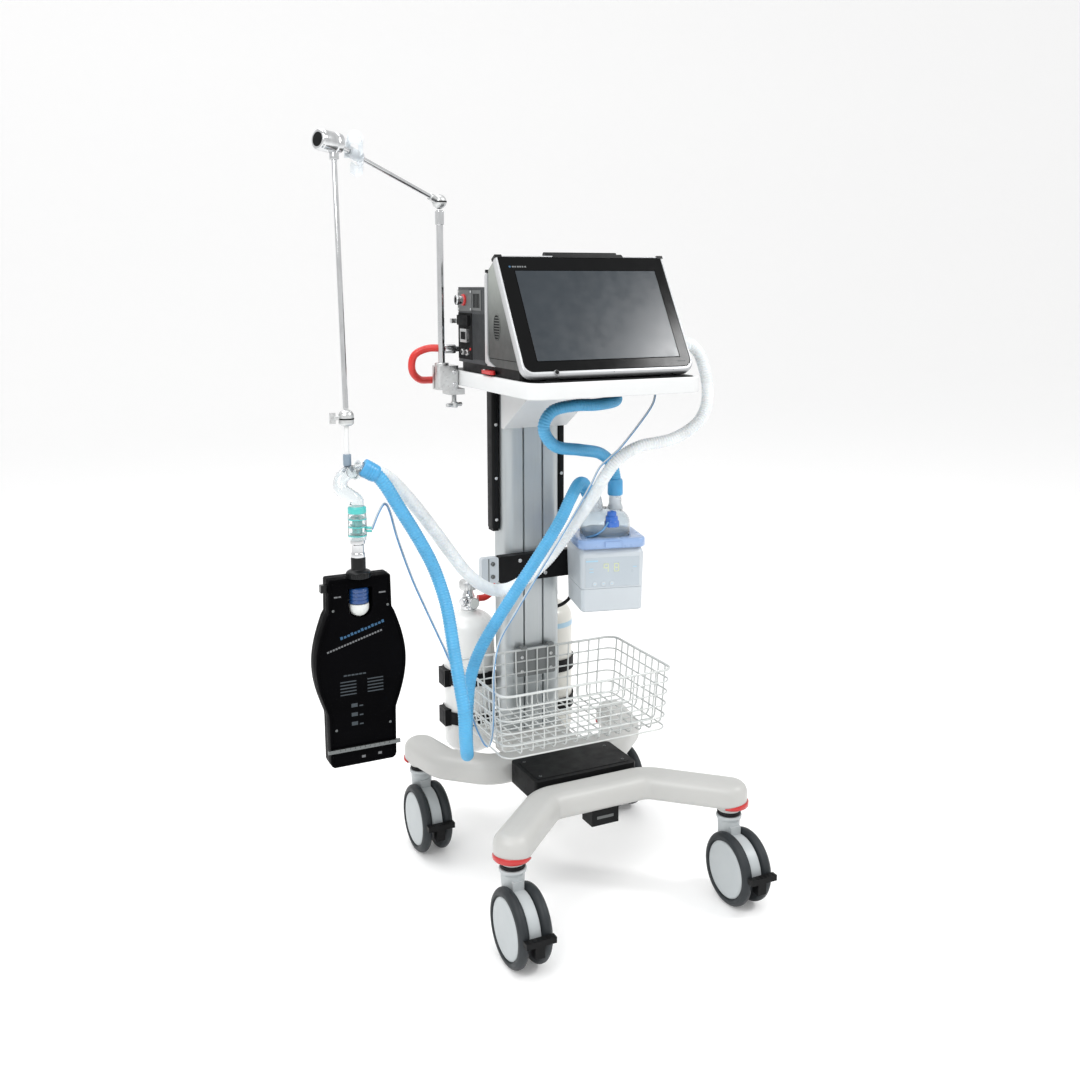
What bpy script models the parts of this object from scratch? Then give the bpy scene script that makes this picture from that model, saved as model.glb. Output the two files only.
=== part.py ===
"""Mechanical ventilator on a wheeled trolley, with a humidifier, a breathing circuit and a test lung.

Metres, +Z up. The screen faces -Y and +X is to the right of somebody who looks at the screen.
All places are written from the centre of the four swivel axes on the floor; ORIGIN_SHIFT then
moves the whole assembly so that the middle of its footprint is the world origin.
"""
from math import cos, pi, radians, sin, tan

import bmesh
import bpy
from mathutils import Matrix, Vector

ORIGIN_SHIFT = Vector((0.1175, 0.0010, 0.0))
GAP = 0.0004

# Casters and base
WHEEL_RADIUS = 0.0625
WHEEL_WIDTH = 0.018
WHEEL_SPACE = 0.022
AXLE_RADIUS = 0.006
TRACK_X = 0.206
TRACK_Y = 0.210
TRAIL = 0.030
FENDER_RADIUS = 0.054
NECK_TOP = 0.147
SOCKET_RADIUS = 0.021
BEAM_BOTTOM = 0.163
BEAM_TOP = 0.206
BEAM_HALF = 0.031
BEAM_ROUND = 0.015
FRONT_BEAM_Y = -0.105
REAR_BEAM_Y = 0.065

# Column
COLUMN_FRONT = 0.146
COLUMN_DEPTH = 0.060
COLUMN_HALF = 0.0595
COLUMN_TOP = 0.868
GROOVE_X = 0.0195
GROOVE_WIDTH = 0.0036
GROOVE_DEPTH = 0.007
SIDE_RAIL_WIDTH = 0.0147
SIDE_RAIL_BOTTOM = 0.600

# Tray
TRAY_HALF = 0.158
TRAY_FRONT = -0.183
TRAY_BACK = 0.192
TRAY_TOP = 0.9060
RAIL_HEIGHT = 0.026
RAIL_THICK = 0.008
TRAY_PLATE = 0.008

# Ventilator
UNIT_HALF = 0.156
UNIT_BOTTOM = TRAY_TOP + 0.0164
PANEL_FOOT = Vector((0.0, -0.1568, 0.9145))
PANEL_SLOPE = radians(30.7)
PANEL_HEIGHT = 0.2195
PANEL_THICK = 0.014
BEZEL_MARGIN = 0.005
BEZEL_FOOT = 0.015
BEZEL_DEPTH = 0.0035
MID_FRAME_Y = -0.0100
HOUSING_TOP = 1.068
MODULE_BACK = 0.1215
MODULE_TOP = 1.0505
HANDLE_SPAN = (-0.0550, 0.0800)
HANDLE_TOP = 1.1085

# Bottles
BOTTLE_RADIUS = 0.050
BOTTLE_X = 0.085
BOTTLE_Y = 0.2615
BOTTLE_FOOT = 0.140
BOTTLE_SHOULDER = 0.425
VALVE_HEIGHT = 0.042
KNOB_RADIUS = 0.018
KNOB_HEIGHT = 0.020
STRAP_HEIGHTS = (0.222, 0.301)
STRAP_THICK = 0.0025

# Basket
BASKET_HALF = 0.1675
BASKET_FRONT = -0.085
BASKET_BACK = 0.133
BASKET_BOTTOM = 0.262
BASKET_TOP = 0.377

# Humidifier
HUMIDIFIER_FRONT = Vector((0.0900, 0.0020, 0.4690))
HUMIDIFIER_TURN = radians(-14.0)
HUMIDIFIER_WIDTH = 0.120
HUMIDIFIER_DEPTH = 0.112
HUMIDIFIER_HEIGHT = 0.116
CHAMBER_RADIUS = 0.046

# Support arm, from the clamp to the patient connection
POST = Vector((-0.1850, 0.1250, 0.0))
POST_RADIUS = 0.006
ELBOW = Vector((-0.1850, 0.1250, 1.1950))
ARM_END = Vector((-0.4000, 0.0100, 1.2710))
LOWER_JOINT = Vector((-0.4040, -0.0320, 0.8520))
CIRCUIT_X = -0.3990
CIRCUIT_Y = -0.0600
LUNG_TOP = 0.605
LUNG_FOOT = 0.300

HOSE_RADIUS = 0.011
GAS_HOSE_RADIUS = 0.0065
SENSOR_RADIUS = 0.0022
CABLE_RADIUS = 0.0034


# ---------------------------------------------------------------- tools

def clear_scene():
    for item in list(bpy.data.objects):
        bpy.data.objects.remove(item, do_unlink=True)


def make_material(name, colour, roughness=0.5, metallic=0.0, transmission=0.0):
    material = bpy.data.materials.new(name)
    material.use_nodes = True
    shader = material.node_tree.nodes["Principled BSDF"]
    shader.inputs["Base Color"].default_value = (*colour, 1.0)
    shader.inputs["Roughness"].default_value = roughness
    shader.inputs["Metallic"].default_value = metallic
    shader.inputs["Transmission Weight"].default_value = transmission
    material.diffuse_color = (*colour, 1.0)
    return material


def place(name, shape, material, pivot=(0, 0, 0), turn=None, smooth=None):
    """Make the object of a bmesh; its origin goes to pivot, which is on the joint axis if it moves."""
    pivot = Vector(pivot)
    if turn is not None:
        shape.transform(turn)
    shape.transform(Matrix.Translation(-pivot))
    bmesh.ops.recalc_face_normals(shape, faces=shape.faces)
    mesh = bpy.data.meshes.new(name)
    shape.to_mesh(mesh)
    shape.free()
    part = bpy.data.objects.new(name, mesh)
    part.location = pivot
    bpy.context.scene.collection.objects.link(part)
    mesh.materials.append(material)
    if smooth is not None:
        mesh.shade_smooth()
        mesh.set_sharp_from_angle(angle=radians(smooth))
    return part


def combine(part, others, operation):
    """Apply one exact boolean for each of the other objects, and remove them."""
    for other in others:
        bpy.context.view_layer.update()
        modifier = part.modifiers.new("combine", "BOOLEAN")
        modifier.operation = operation
        modifier.solver = "EXACT"
        modifier.object = other
        bpy.context.view_layer.update()
        evaluated = part.evaluated_get(bpy.context.evaluated_depsgraph_get())
        mesh = bpy.data.meshes.new_from_object(evaluated)
        part.modifiers.clear()
        part.data = mesh
        bpy.data.objects.remove(other, do_unlink=True)
    return part


def fuse(part, *others):
    return combine(part, others, "UNION")


def cut(part, *others):
    return combine(part, others, "DIFFERENCE")


def loft(outlines):
    """Close a stack of 3-D outlines that have the same number of points."""
    shape = bmesh.new()
    rings = [[shape.verts.new(point) for point in outline] for outline in outlines]
    count = len(rings[0])
    for low, high in zip(rings, rings[1:]):
        for i in range(count):
            j = (i + 1) % count
            shape.faces.new((low[i], low[j], high[j], high[i]))
    shape.faces.new(list(reversed(rings[0])))
    shape.faces.new(rings[-1])
    return shape


def on_axis(axis, a, b, along):
    """A point from two coordinates of an outline and the distance along the axis."""
    if axis == "X":
        return Vector((along, a, b))
    if axis == "Y":
        return Vector((a, along, b))
    return Vector((a, b, along))


def prism(outline, low, high, axis="Z"):
    ends = [[on_axis(axis, a, b, along) for a, b in outline] for along in (low, high)]
    return loft(ends)


def block(low, high):
    outline = [(low[0], low[1]), (high[0], low[1]), (high[0], high[1]), (low[0], high[1])]
    return prism(outline, low[2], high[2])


def ring_points(radius, count, start=0.0):
    return [(radius * cos(start + 2 * pi * i / count), radius * sin(start + 2 * pi * i / count))
            for i in range(count)]


def lathe(profile, segments=24, axis="Z", centre=(0, 0, 0)):
    """Turn a profile of (radius, height) pairs, from one end cap to the other."""
    shape = loft([[on_axis(axis, a, b, height) for a, b in ring_points(radius, segments)]
                  for radius, height in profile])
    shape.transform(Matrix.Translation(Vector(centre)))
    return shape


def rod(start, end, radius, segments=16):
    start = Vector(start)
    end = Vector(end)
    shape = lathe([(radius, 0.0), (radius, (end - start).length)], segments)
    turn = (end - start).to_track_quat("Z", "Y").to_matrix().to_4x4()
    shape.transform(Matrix.Translation(start) @ turn)
    return shape


def round_corners(corners, radii, steps=4):
    """Replace each corner of a closed outline with an arc of the given radius."""
    outline = []
    count = len(corners)
    for i, corner in enumerate(corners):
        radius = radii[i] if isinstance(radii, (list, tuple)) else radii
        here = Vector(corner)
        before = (Vector(corners[i - 1]) - here).normalized()
        after = (Vector(corners[(i + 1) % count]) - here).normalized()
        if radius <= 0.0:
            outline.append(tuple(here))
            continue
        half = before.angle(after) / 2
        centre = here + (before + after).normalized() * (radius / sin(half))
        first = here + before * (radius / tan(half)) - centre
        last = here + after * (radius / tan(half)) - centre
        sweep = -first.angle_signed(last)
        for step in range(steps + 1):
            outline.append(tuple(centre + Matrix.Rotation(sweep * step / steps, 2) @ first))
    return outline


def rounded_box(half_x, front, back, radius, steps=4):
    corners = [(-half_x, front), (half_x, front), (half_x, back), (-half_x, back)]
    return round_corners(corners, radius, steps)


def bend_path(points, radius, steps=4):
    """An open plan path with its inner corners turned into arcs."""
    path = [Vector(points[0])]
    for before, here, after in zip(points, points[1:], points[2:]):
        arc = round_corners([before, here, after], [0.0, radius, 0.0], steps)[1:-1]
        path += [Vector(point) for point in arc]
    path.append(Vector(points[-1]))
    return path


def half_round(centre, start, steps):
    """Points between the two ends of a half circle that begins at start."""
    return [centre + Matrix.Rotation(pi * step / steps, 2) @ (start - centre) for step in range(1, steps)]


def strip_outline(path, half, steps=8):
    """Offset a plan path to both sides and close it with two half rounds."""
    left = []
    right = []
    for i, here in enumerate(path):
        ahead = (path[min(i + 1, len(path) - 1)] - path[max(i - 1, 0)]).normalized()
        normal = Vector((-ahead.y, ahead.x))
        left.append(here + normal * half)
        right.append(here - normal * half)
    return right + half_round(path[-1], right[-1], steps) + left[::-1] + half_round(path[0], left[0], steps)


def beam(path):
    """A bar with rounded edges along a plan path."""
    levels = []
    for angle in (0, 30, 60, 90):
        inset = BEAM_ROUND * (1 - sin(radians(angle)))
        levels.append((inset, BEAM_BOTTOM + BEAM_ROUND * (1 - cos(radians(angle)))))
    levels += [(inset, BEAM_TOP + BEAM_BOTTOM - height) for inset, height in reversed(levels)]
    return loft([[Vector((point.x, point.y, height)) for point in strip_outline(path, BEAM_HALF - inset)]
                 for inset, height in levels])


def smooth_route(points, spacing):
    """Read points at an even spacing from a smooth curve through the route points."""
    points = [Vector(point) for point in points]
    padded = [points[0] * 2 - points[1]] + points + [points[-1] * 2 - points[-2]]
    fine = []
    for a, b, c, d in zip(padded, padded[1:], padded[2:], padded[3:]):
        for step in range(40):
            t = step / 40
            bend = (a * -1 + b * 3 - c * 3 + d) * t ** 3 + (a * 2 - b * 5 + c * 4 - d) * t ** 2
            fine.append((bend + (c - a) * t + b * 2) / 2)
    fine.append(points[-1])
    lengths = [0.0]
    for near, far in zip(fine, fine[1:]):
        lengths.append(lengths[-1] + (far - near).length)
    count = max(2, round(lengths[-1] / spacing))
    route = []
    index = 0
    for step in range(count + 1):
        wanted = lengths[-1] * step / count
        while index < len(fine) - 2 and lengths[index + 1] < wanted:
            index += 1
        span = lengths[index + 1] - lengths[index]
        route.append(fine[index].lerp(fine[index + 1], (wanted - lengths[index]) / span))
    return route


def cord(name, points, radius, material, spacing, resolution=2):
    curve = bpy.data.curves.new(name, "CURVE")
    curve.dimensions = "3D"
    curve.bevel_depth = radius
    curve.bevel_resolution = resolution
    curve.use_fill_caps = True
    route = smooth_route(points, spacing)
    spline = curve.splines.new("POLY")
    spline.points.add(len(route) - 1)
    for point, place_at in zip(spline.points, route):
        point.co = (*place_at, 1.0)
    curve.materials.append(material)
    line = bpy.data.objects.new(name, curve)
    bpy.context.scene.collection.objects.link(line)
    return line


# ---------------------------------------------------------------- casters and base

def caster_corners():
    return {"front_left": (-TRACK_X, -TRACK_Y), "front_right": (TRACK_X, -TRACK_Y),
            "rear_left": (-TRACK_X, TRACK_Y), "rear_right": (TRACK_X, TRACK_Y)}


def caster_fork(name, x, y, material):
    """Swivel neck with the fender that fills the space between the two wheels."""
    axle_y = y - TRAIL
    fender = [(axle_y + FENDER_RADIUS * cos(radians(a)), WHEEL_RADIUS + FENDER_RADIUS * sin(radians(a)))
              for a in range(-8, 189, 14)]
    fender += [(axle_y - 0.016, WHEEL_RADIUS - 0.018), (axle_y + 0.016, WHEEL_RADIUS - 0.018)]
    half = WHEEL_SPACE / 2 - 0.001
    fork = place(name, prism(fender, x - half, x + half, "X"), material, (x, y, 0.0))
    web = place("web", block((x - half, y - 0.020, 0.100), (x + half, y + 0.020, 0.132)), material)
    neck = place("neck", lathe([(0.020, 0.1265), (0.020, 0.141), (0.0225, 0.144), (0.0225, NECK_TOP)],
                               24, "Z", (x, y, 0)), material)
    hole = place("hole", lathe([(AXLE_RADIUS + 0.0005, x - 0.04), (AXLE_RADIUS + 0.0005, x + 0.04)],
                               24, "X", (0, axle_y, WHEEL_RADIUS)), material)
    fuse(fork, web, neck)
    return cut(fork, hole)


def wheel_pair(name, x, y, material):
    """Two wheels on one axle."""
    inner = WHEEL_SPACE / 2
    outer = inner + WHEEL_WIDTH
    half = [(WHEEL_RADIUS - 0.006, outer), (WHEEL_RADIUS, outer - 0.006), (WHEEL_RADIUS, inner + 0.004),
            (WHEEL_RADIUS - 0.004, inner), (AXLE_RADIUS, inner)]
    profile = [(r, -h) for r, h in half] + [(r, h) for r, h in reversed(half)]
    centre = (x, y - TRAIL, WHEEL_RADIUS)
    return place(name, lathe(profile, 32, "X", centre), material, centre, smooth=40)


def brake_pedal(name, x, y, material):
    """T-shaped lever at the front of the fender."""
    tip = y - TRAIL - WHEEL_RADIUS
    bar = block((x - 0.026, tip - 0.014, 0.0665), (x + 0.026, tip - 0.0012, 0.0765))
    stem = block((x - 0.008, tip - 0.008, 0.044), (x + 0.008, tip + 0.0074, 0.072))
    pedal = place(name, bar, material, (x, tip + 0.012, 0.060))
    return fuse(pedal, place("stem", stem, material))


def base_beam(name, path, ends, material):
    part = place(name, beam(bend_path(path, 0.05)), material, smooth=50)
    sockets = [place("socket", lathe([(SOCKET_RADIUS, NECK_TOP + 0.0006), (SOCKET_RADIUS, 0.160),
                                      (0.027, 0.1635), (0.027, 0.170)], 24, "Z", (x, y, 0)), material)
               for x, y in ends]
    return fuse(part, *sockets)


def build_base(mats):
    corners = caster_corners()
    front_path = [(-TRACK_X, -TRACK_Y), (-0.098, FRONT_BEAM_Y), (0.098, FRONT_BEAM_Y), (TRACK_X, -TRACK_Y)]
    base_beam("front_beam", front_path, (corners["front_left"], corners["front_right"]), mats["shell"])
    rear_path = [(-TRACK_X, TRACK_Y), (-0.190, 0.128), (-0.125, REAR_BEAM_Y), (0.125, REAR_BEAM_Y),
                 (0.190, 0.128), (TRACK_X, TRACK_Y)]
    rear = base_beam("rear_beam", rear_path, (corners["rear_left"], corners["rear_right"]), mats["shell"])
    foot = place("foot", prism(rounded_box(0.0615, 0.050, 0.2075, 0.022), BEAM_BOTTOM + 0.004, BEAM_TOP),
                 mats["shell"])
    fuse(rear, foot)
    plate = [(-0.100, FRONT_BEAM_Y + BEAM_HALF + GAP), (0.100, FRONT_BEAM_Y + BEAM_HALF + GAP),
             (0.100, REAR_BEAM_Y - BEAM_HALF - GAP), (-0.100, REAR_BEAM_Y - BEAM_HALF - GAP)]
    place("base_cover", prism(round_corners(plate, 0.008), 0.170, 0.2085), mats["black"])
    for corner, (x, y) in corners.items():
        caster_fork("caster_fork_" + corner, x, y, mats["shell"])
        wheel_pair("wheels_" + corner, x, y, mats["tyre"])
        brake_pedal("brake_pedal_" + corner, x, y, mats["black"])


# ---------------------------------------------------------------- column and what hangs on it

def build_column(mats):
    back = COLUMN_FRONT + COLUMN_DEPTH
    outline = rounded_box(COLUMN_HALF, COLUMN_FRONT, back, 0.022, 6)
    column = place("column", prism(outline, BEAM_TOP + GAP, COLUMN_TOP), mats["aluminium"], smooth=30)
    grooves = [place("groove", block((side * GROOVE_X - GROOVE_WIDTH / 2, COLUMN_FRONT - 0.01, 0.1),
                                     (side * GROOVE_X + GROOVE_WIDTH / 2, COLUMN_FRONT + GROOVE_DEPTH, 1.0)),
                     mats["aluminium"]) for side in (-1, 1)]
    cut(column, *grooves)
    for name, side in (("side_rail_left", -1), ("side_rail_right", 1)):
        outline = rounded_box(SIDE_RAIL_WIDTH / 2, 0.162, 0.190, 0.003, 2)
        middle = side * (COLUMN_HALF + GAP + SIDE_RAIL_WIDTH / 2)
        place(name, prism([(x + middle, y) for x, y in outline], SIDE_RAIL_BOTTOM, COLUMN_TOP), mats["black"])
    head = prism(rounded_box(0.064, 0.020, COLUMN_FRONT - GAP, 0.010), 0.795, COLUMN_TOP + GAP)
    head = place("column_head", head, mats["shell"])
    cap = prism(rounded_box(0.078, 0.010, 0.1832, 0.010), COLUMN_TOP + GAP, TRAY_TOP - RAIL_HEIGHT + 0.0015)
    fuse(head, place("cap", cap, mats["shell"]))
    slope = [(0.0, 0.70), (0.133, 0.783), (0.0, 0.866)]
    cut(head, place("slope", prism(slope, -0.2, 0.2, "X"), mats["shell"]))


def build_humidifier_bracket(mats):
    outline = [(-0.078, 0.5095), (0.104, 0.5095), (0.104, 0.560), (-0.078, 0.560)]
    bracket = prism(round_corners(outline, 0.004, 2), COLUMN_FRONT - 0.019, COLUMN_FRONT - GAP, "Y")
    place("humidifier_bracket", bracket, mats["black"])


def bottle(name, x, material):
    profile = [(0.006, BOTTLE_FOOT)]
    for angle in (25, 50, 70, 90):
        height = BOTTLE_FOOT + 0.034 * (1 - cos(radians(angle)))
        profile.append((BOTTLE_RADIUS * sin(radians(angle)), height))
    for angle in (90, 60, 35):
        radius = 0.016 + (BOTTLE_RADIUS - 0.016) * sin(radians(angle))
        profile.append((radius, BOTTLE_SHOULDER - 0.034 + 0.034 * cos(radians(angle))))
    profile += [(0.016, BOTTLE_SHOULDER), (0.016, BOTTLE_SHOULDER + 0.030),
                (0.011, BOTTLE_SHOULDER + 0.034), (0.011, BOTTLE_SHOULDER + VALVE_HEIGHT)]
    place(name, lathe(profile, 28, "Z", (x, BOTTLE_Y, 0)), material, smooth=40)


def valve_knob(name, x, material):
    low = BOTTLE_SHOULDER + VALVE_HEIGHT + GAP
    ribs = 16
    outline = []
    for i in range(ribs):
        radius = KNOB_RADIUS * (1.0 if i % 2 else 0.9)
        angle = 2 * pi * i / ribs
        outline.append((x + radius * cos(angle), BOTTLE_Y + radius * sin(angle)))
    place(name, prism(outline, low, low + KNOB_HEIGHT), material, (x, BOTTLE_Y, low))


def strap(name, height, mats):
    """Band around both bottles, with a buckle at its left end."""
    inner = BOTTLE_RADIUS + 0.0012
    outer = inner + STRAP_THICK
    path = [Vector((-BOTTLE_X, BOTTLE_Y)), Vector((BOTTLE_X, BOTTLE_Y))]
    band = [[Vector((point.x, point.y, z)) for point in strip_outline(path, outer, 12)]
            for z in (height - 0.0125, height + 0.0125)]
    hole = [[Vector((point.x, point.y, z)) for point in strip_outline(path, inner, 12)]
            for z in (height - 0.1, height + 0.1)]
    part = place(name, loft(band), mats["black"])
    buckle = block((-BOTTLE_X - outer - 0.006, BOTTLE_Y - 0.020, height - 0.017),
                   (-BOTTLE_X - inner + 0.006, BOTTLE_Y + 0.014, height + 0.017))
    fuse(part, place("buckle", buckle, mats["black"]))
    return cut(part, place("hole", loft(hole), mats["black"]))


def build_bottles(mats):
    for side, sign in (("left", -1), ("right", 1)):
        bottle("bottle_" + side, sign * BOTTLE_X, mats["bottle"])
        valve_knob("valve_knob_" + side, sign * BOTTLE_X, mats["silver"])
    for name, height in zip(("strap_lower", "strap_upper"), STRAP_HEIGHTS):
        strap(name, height, mats)


def build_basket(mats):
    """Open tub with the outer shape of the wire basket."""
    wall = 0.003
    outer = [(BASKET_HALF - 0.008, BASKET_FRONT + 0.006, BASKET_BOTTOM),
             (BASKET_HALF, BASKET_FRONT, BASKET_TOP)]
    tub = loft([[Vector((x, y, z)) for x, y in rounded_box(half, front, BASKET_BACK, 0.020)]
                for half, front, z in outer])
    inner = [(BASKET_HALF - 0.008 - wall, BASKET_FRONT + 0.006 + wall, BASKET_BOTTOM + wall),
             (BASKET_HALF - wall + 0.0007, BASKET_FRONT + wall - 0.0005, BASKET_TOP + 0.010)]
    space = loft([[Vector((x, y, z)) for x, y in rounded_box(half, front, BASKET_BACK - wall, 0.017)]
                  for half, front, z in inner])
    basket = place("basket", tub, mats["wire"])
    cut(basket, place("space", space, mats["wire"]))


# ---------------------------------------------------------------- tray and ventilator

def build_tray(mats):
    low = TRAY_TOP - RAIL_HEIGHT
    rail = prism(rounded_box(TRAY_HALF, TRAY_FRONT, TRAY_BACK, 0.024, 6), low, TRAY_TOP)
    space = prism(rounded_box(TRAY_HALF - RAIL_THICK, TRAY_FRONT + RAIL_THICK, TRAY_BACK - RAIL_THICK,
                              0.016, 6), low - 0.01, TRAY_TOP + 0.01)
    cut(place("tray_rail", rail, mats["shell"]), place("space", space, mats["shell"]))
    edge = RAIL_THICK + GAP
    plate = prism(rounded_box(TRAY_HALF - edge, TRAY_FRONT + edge, TRAY_BACK - edge, 0.016 - GAP, 6),
                  low + 0.002, TRAY_TOP - 0.0015)
    place("tray_plate", plate, mats["black"])


def panel_turn():
    """From the panel's own frame (x, up the slope, outwards) to the assembly."""
    up = Vector((0, sin(PANEL_SLOPE), cos(PANEL_SLOPE)))
    out = Vector((0, -cos(PANEL_SLOPE), sin(PANEL_SLOPE)))
    turn = Matrix((Vector((1, 0, 0)), up, out)).transposed().to_4x4()
    return Matrix.Translation(PANEL_FOOT) @ turn


def build_front_panel(mats):
    half = UNIT_HALF + 0.001
    radii = [0.020, 0.020, 0.005, 0.005]
    outline = round_corners([(-half, 0), (half, 0), (half, PANEL_HEIGHT), (-half, PANEL_HEIGHT)], radii)
    frame = place("front_frame", prism(outline, -PANEL_THICK, 0.0), mats["silver"], turn=panel_turn())
    inner = half - BEZEL_MARGIN
    low = BEZEL_FOOT
    high = PANEL_HEIGHT - BEZEL_MARGIN
    radii = [0.014, 0.014, 0.004, 0.004]
    corners = [(-inner, low), (inner, low), (inner, high), (-inner, high)]
    recess = prism(round_corners(corners, radii), -BEZEL_DEPTH, 0.02)
    button_at = Vector((-0.100, BEZEL_FOOT / 2, 0.0))
    pocket = lathe([(0.0046, -0.006), (0.0046, 0.02)], 20, "Z", button_at)
    cut(frame, place("recess", recess, mats["silver"], turn=panel_turn()),
        place("pocket", pocket, mats["silver"], turn=panel_turn()))
    corners = [(-inner + GAP, low + GAP), (inner - GAP, low + GAP), (inner - GAP, high - GAP),
               (-inner + GAP, high - GAP)]
    glass = prism(round_corners(corners, [r - GAP for r in radii]), GAP - BEZEL_DEPTH, 0.0)
    place("display_glass", glass, mats["glass"], turn=panel_turn())
    button = lathe([(0.0042, -0.0035), (0.0042, 0.0012), (0.0036, 0.0018)], 20, "Z", button_at)
    pivot = panel_turn() @ button_at
    place("power_button", button, mats["black"], pivot, turn=panel_turn(), smooth=40)


def build_ventilator(mats):
    shelf = prism(rounded_box(0.150, -0.128, 0.118, 0.006, 2), TRAY_TOP + GAP, UNIT_BOTTOM - GAP)
    place("docking_plate", shelf, mats["black"])
    lever_x = -0.1565
    lever = strip_outline([Vector((lever_x, -0.034)), Vector((lever_x, 0.002))], 0.0056)
    place("release_lever", prism(lever, TRAY_TOP + 0.004, TRAY_TOP + 0.012), mats["red"],
          (lever_x, 0.002, TRAY_TOP + 0.008))
    build_front_panel(mats)
    behind = PANEL_THICK / cos(PANEL_SLOPE) + GAP * 2
    slope = tan(PANEL_SLOPE)
    front = PANEL_FOOT.y + behind
    top = HOUSING_TOP
    outline = [(front + (UNIT_BOTTOM - PANEL_FOOT.z) * slope, UNIT_BOTTOM),
               (MID_FRAME_Y - GAP, UNIT_BOTTOM), (MID_FRAME_Y - GAP, top),
               (front + (top - PANEL_FOOT.z) * slope, top)]
    place("main_housing", prism(outline, -UNIT_HALF + 0.002, UNIT_HALF - 0.002, "X"), mats["graphite"])
    middle = prism(round_corners([(-UNIT_HALF, UNIT_BOTTOM), (UNIT_HALF, UNIT_BOTTOM), (UNIT_HALF, 1.0780),
                                  (-UNIT_HALF, 1.0780)], 0.004, 2), MID_FRAME_Y, -GAP, "Y")
    place("mid_frame", middle, mats["shell"])
    module = prism(round_corners([(-UNIT_HALF, UNIT_BOTTOM), (UNIT_HALF, UNIT_BOTTOM),
                                  (UNIT_HALF, MODULE_TOP), (-UNIT_HALF, MODULE_TOP)], 0.006, 2),
                   0.0, MODULE_BACK, "Y")
    place("rear_module", module, mats["graphite"])
    build_handle(mats)
    port = lathe([(0.0150, UNIT_HALF + GAP), (0.0150, UNIT_HALF + 0.026), (0.0128, UNIT_HALF + 0.026),
                  (0.0128, UNIT_HALF + 0.036)], 24, "X", (0, -0.058, 0.952))
    place("expiratory_port", port, mats["clear"], smooth=40)
    knob = [(0.009, 0.0), (0.009, 0.006), (0.0065, 0.007), (0.0065, 0.018)]
    knob = lathe(knob, 16, "Y", (-0.146, MODULE_BACK + GAP, 0.992))
    wing = block((-0.1640, MODULE_BACK + 0.007, 0.988), (-0.146, MODULE_BACK + 0.016, 0.996))
    latch = place("module_latch", knob, mats["graphite"], (-0.146, MODULE_BACK, 0.992))
    fuse(latch, place("wing", wing, mats["graphite"]))


def build_handle(mats):
    """Carrying bar on two feet behind the top of the panel."""
    low = HOUSING_TOP + GAP
    grip = HANDLE_TOP - 0.013
    left, right = HANDLE_SPAN
    outline = [(left, low), (left + 0.014, low), (left + 0.014, grip), (right - 0.014, grip),
               (right - 0.014, low), (right, low), (right, HANDLE_TOP), (left, HANDLE_TOP)]
    radii = [0.0, 0.0, 0.005, 0.005, 0.0, 0.0, 0.008, 0.008]
    handle = prism(round_corners(outline, radii, 3), -0.0222, MID_FRAME_Y - GAP, "Y")
    place("carry_handle", handle, mats["black"])


# ---------------------------------------------------------------- humidifier

def humidifier_turn():
    return Matrix.Translation(HUMIDIFIER_FRONT) @ Matrix.Rotation(HUMIDIFIER_TURN, 4, "Z")


def build_humidifier(mats):
    """Heater base, guard rim and water chamber; local y runs to the back."""
    half = HUMIDIFIER_WIDTH / 2
    body = loft([[Vector((x, y, z)) for x, y in rounded_box(half - 0.003, 0.002, HUMIDIFIER_DEPTH, 0.010)]
                 for z in (0.0, 0.004)] +
                [[Vector((x, y, HUMIDIFIER_HEIGHT)) for x, y in
                  rounded_box(half, 0.0, HUMIDIFIER_DEPTH, 0.010)]])
    place("humidifier_base", body, mats["panel_grey"], turn=humidifier_turn())
    low = HUMIDIFIER_HEIGHT + GAP
    rim = prism(rounded_box(half + 0.003, -0.004, HUMIDIFIER_DEPTH - 0.004, 0.024, 6), low, low + 0.017)
    seat = lathe([(CHAMBER_RADIUS + 0.002, low + 0.006), (CHAMBER_RADIUS + 0.002, low + 0.05)], 32, "Z",
                 (0, 0.056, 0))
    cut(place("chamber_guard", rim, mats["lilac"], turn=humidifier_turn()),
        place("seat", seat, mats["lilac"], turn=humidifier_turn()))
    foot = low + 0.006 + GAP
    dome = [(CHAMBER_RADIUS + 0.0012, foot), (CHAMBER_RADIUS + 0.0012, foot + 0.004),
            (CHAMBER_RADIUS, foot + 0.008), (CHAMBER_RADIUS - 0.002, foot + 0.030)]
    for angle in (25, 50, 72):
        dome.append((0.010 + (CHAMBER_RADIUS - 0.012) * cos(radians(angle)),
                     foot + 0.030 + 0.026 * sin(radians(angle))))
    chamber = place("water_chamber", lathe(dome, 28, "Z", (0, 0.056, 0)), mats["clear"],
                    turn=humidifier_turn(), smooth=40)
    inlet = lathe([(0.0115, foot + 0.04), (0.0115, foot + 0.083)], 20, "Z", (0.020, 0.058, 0))
    outlet = lathe([(0.0115, foot + 0.04), (0.0115, foot + 0.062)], 20, "Z", (-0.018, 0.048, 0))
    elbow = rod((-0.018, 0.048, foot + 0.055), (-0.036, 0.027, foot + 0.086), 0.0115, 20)
    fuse(chamber, *[place("port", shape, mats["clear"], turn=humidifier_turn())
                    for shape in (inlet, outlet, elbow)])


# ---------------------------------------------------------------- support arm and patient side

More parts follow.
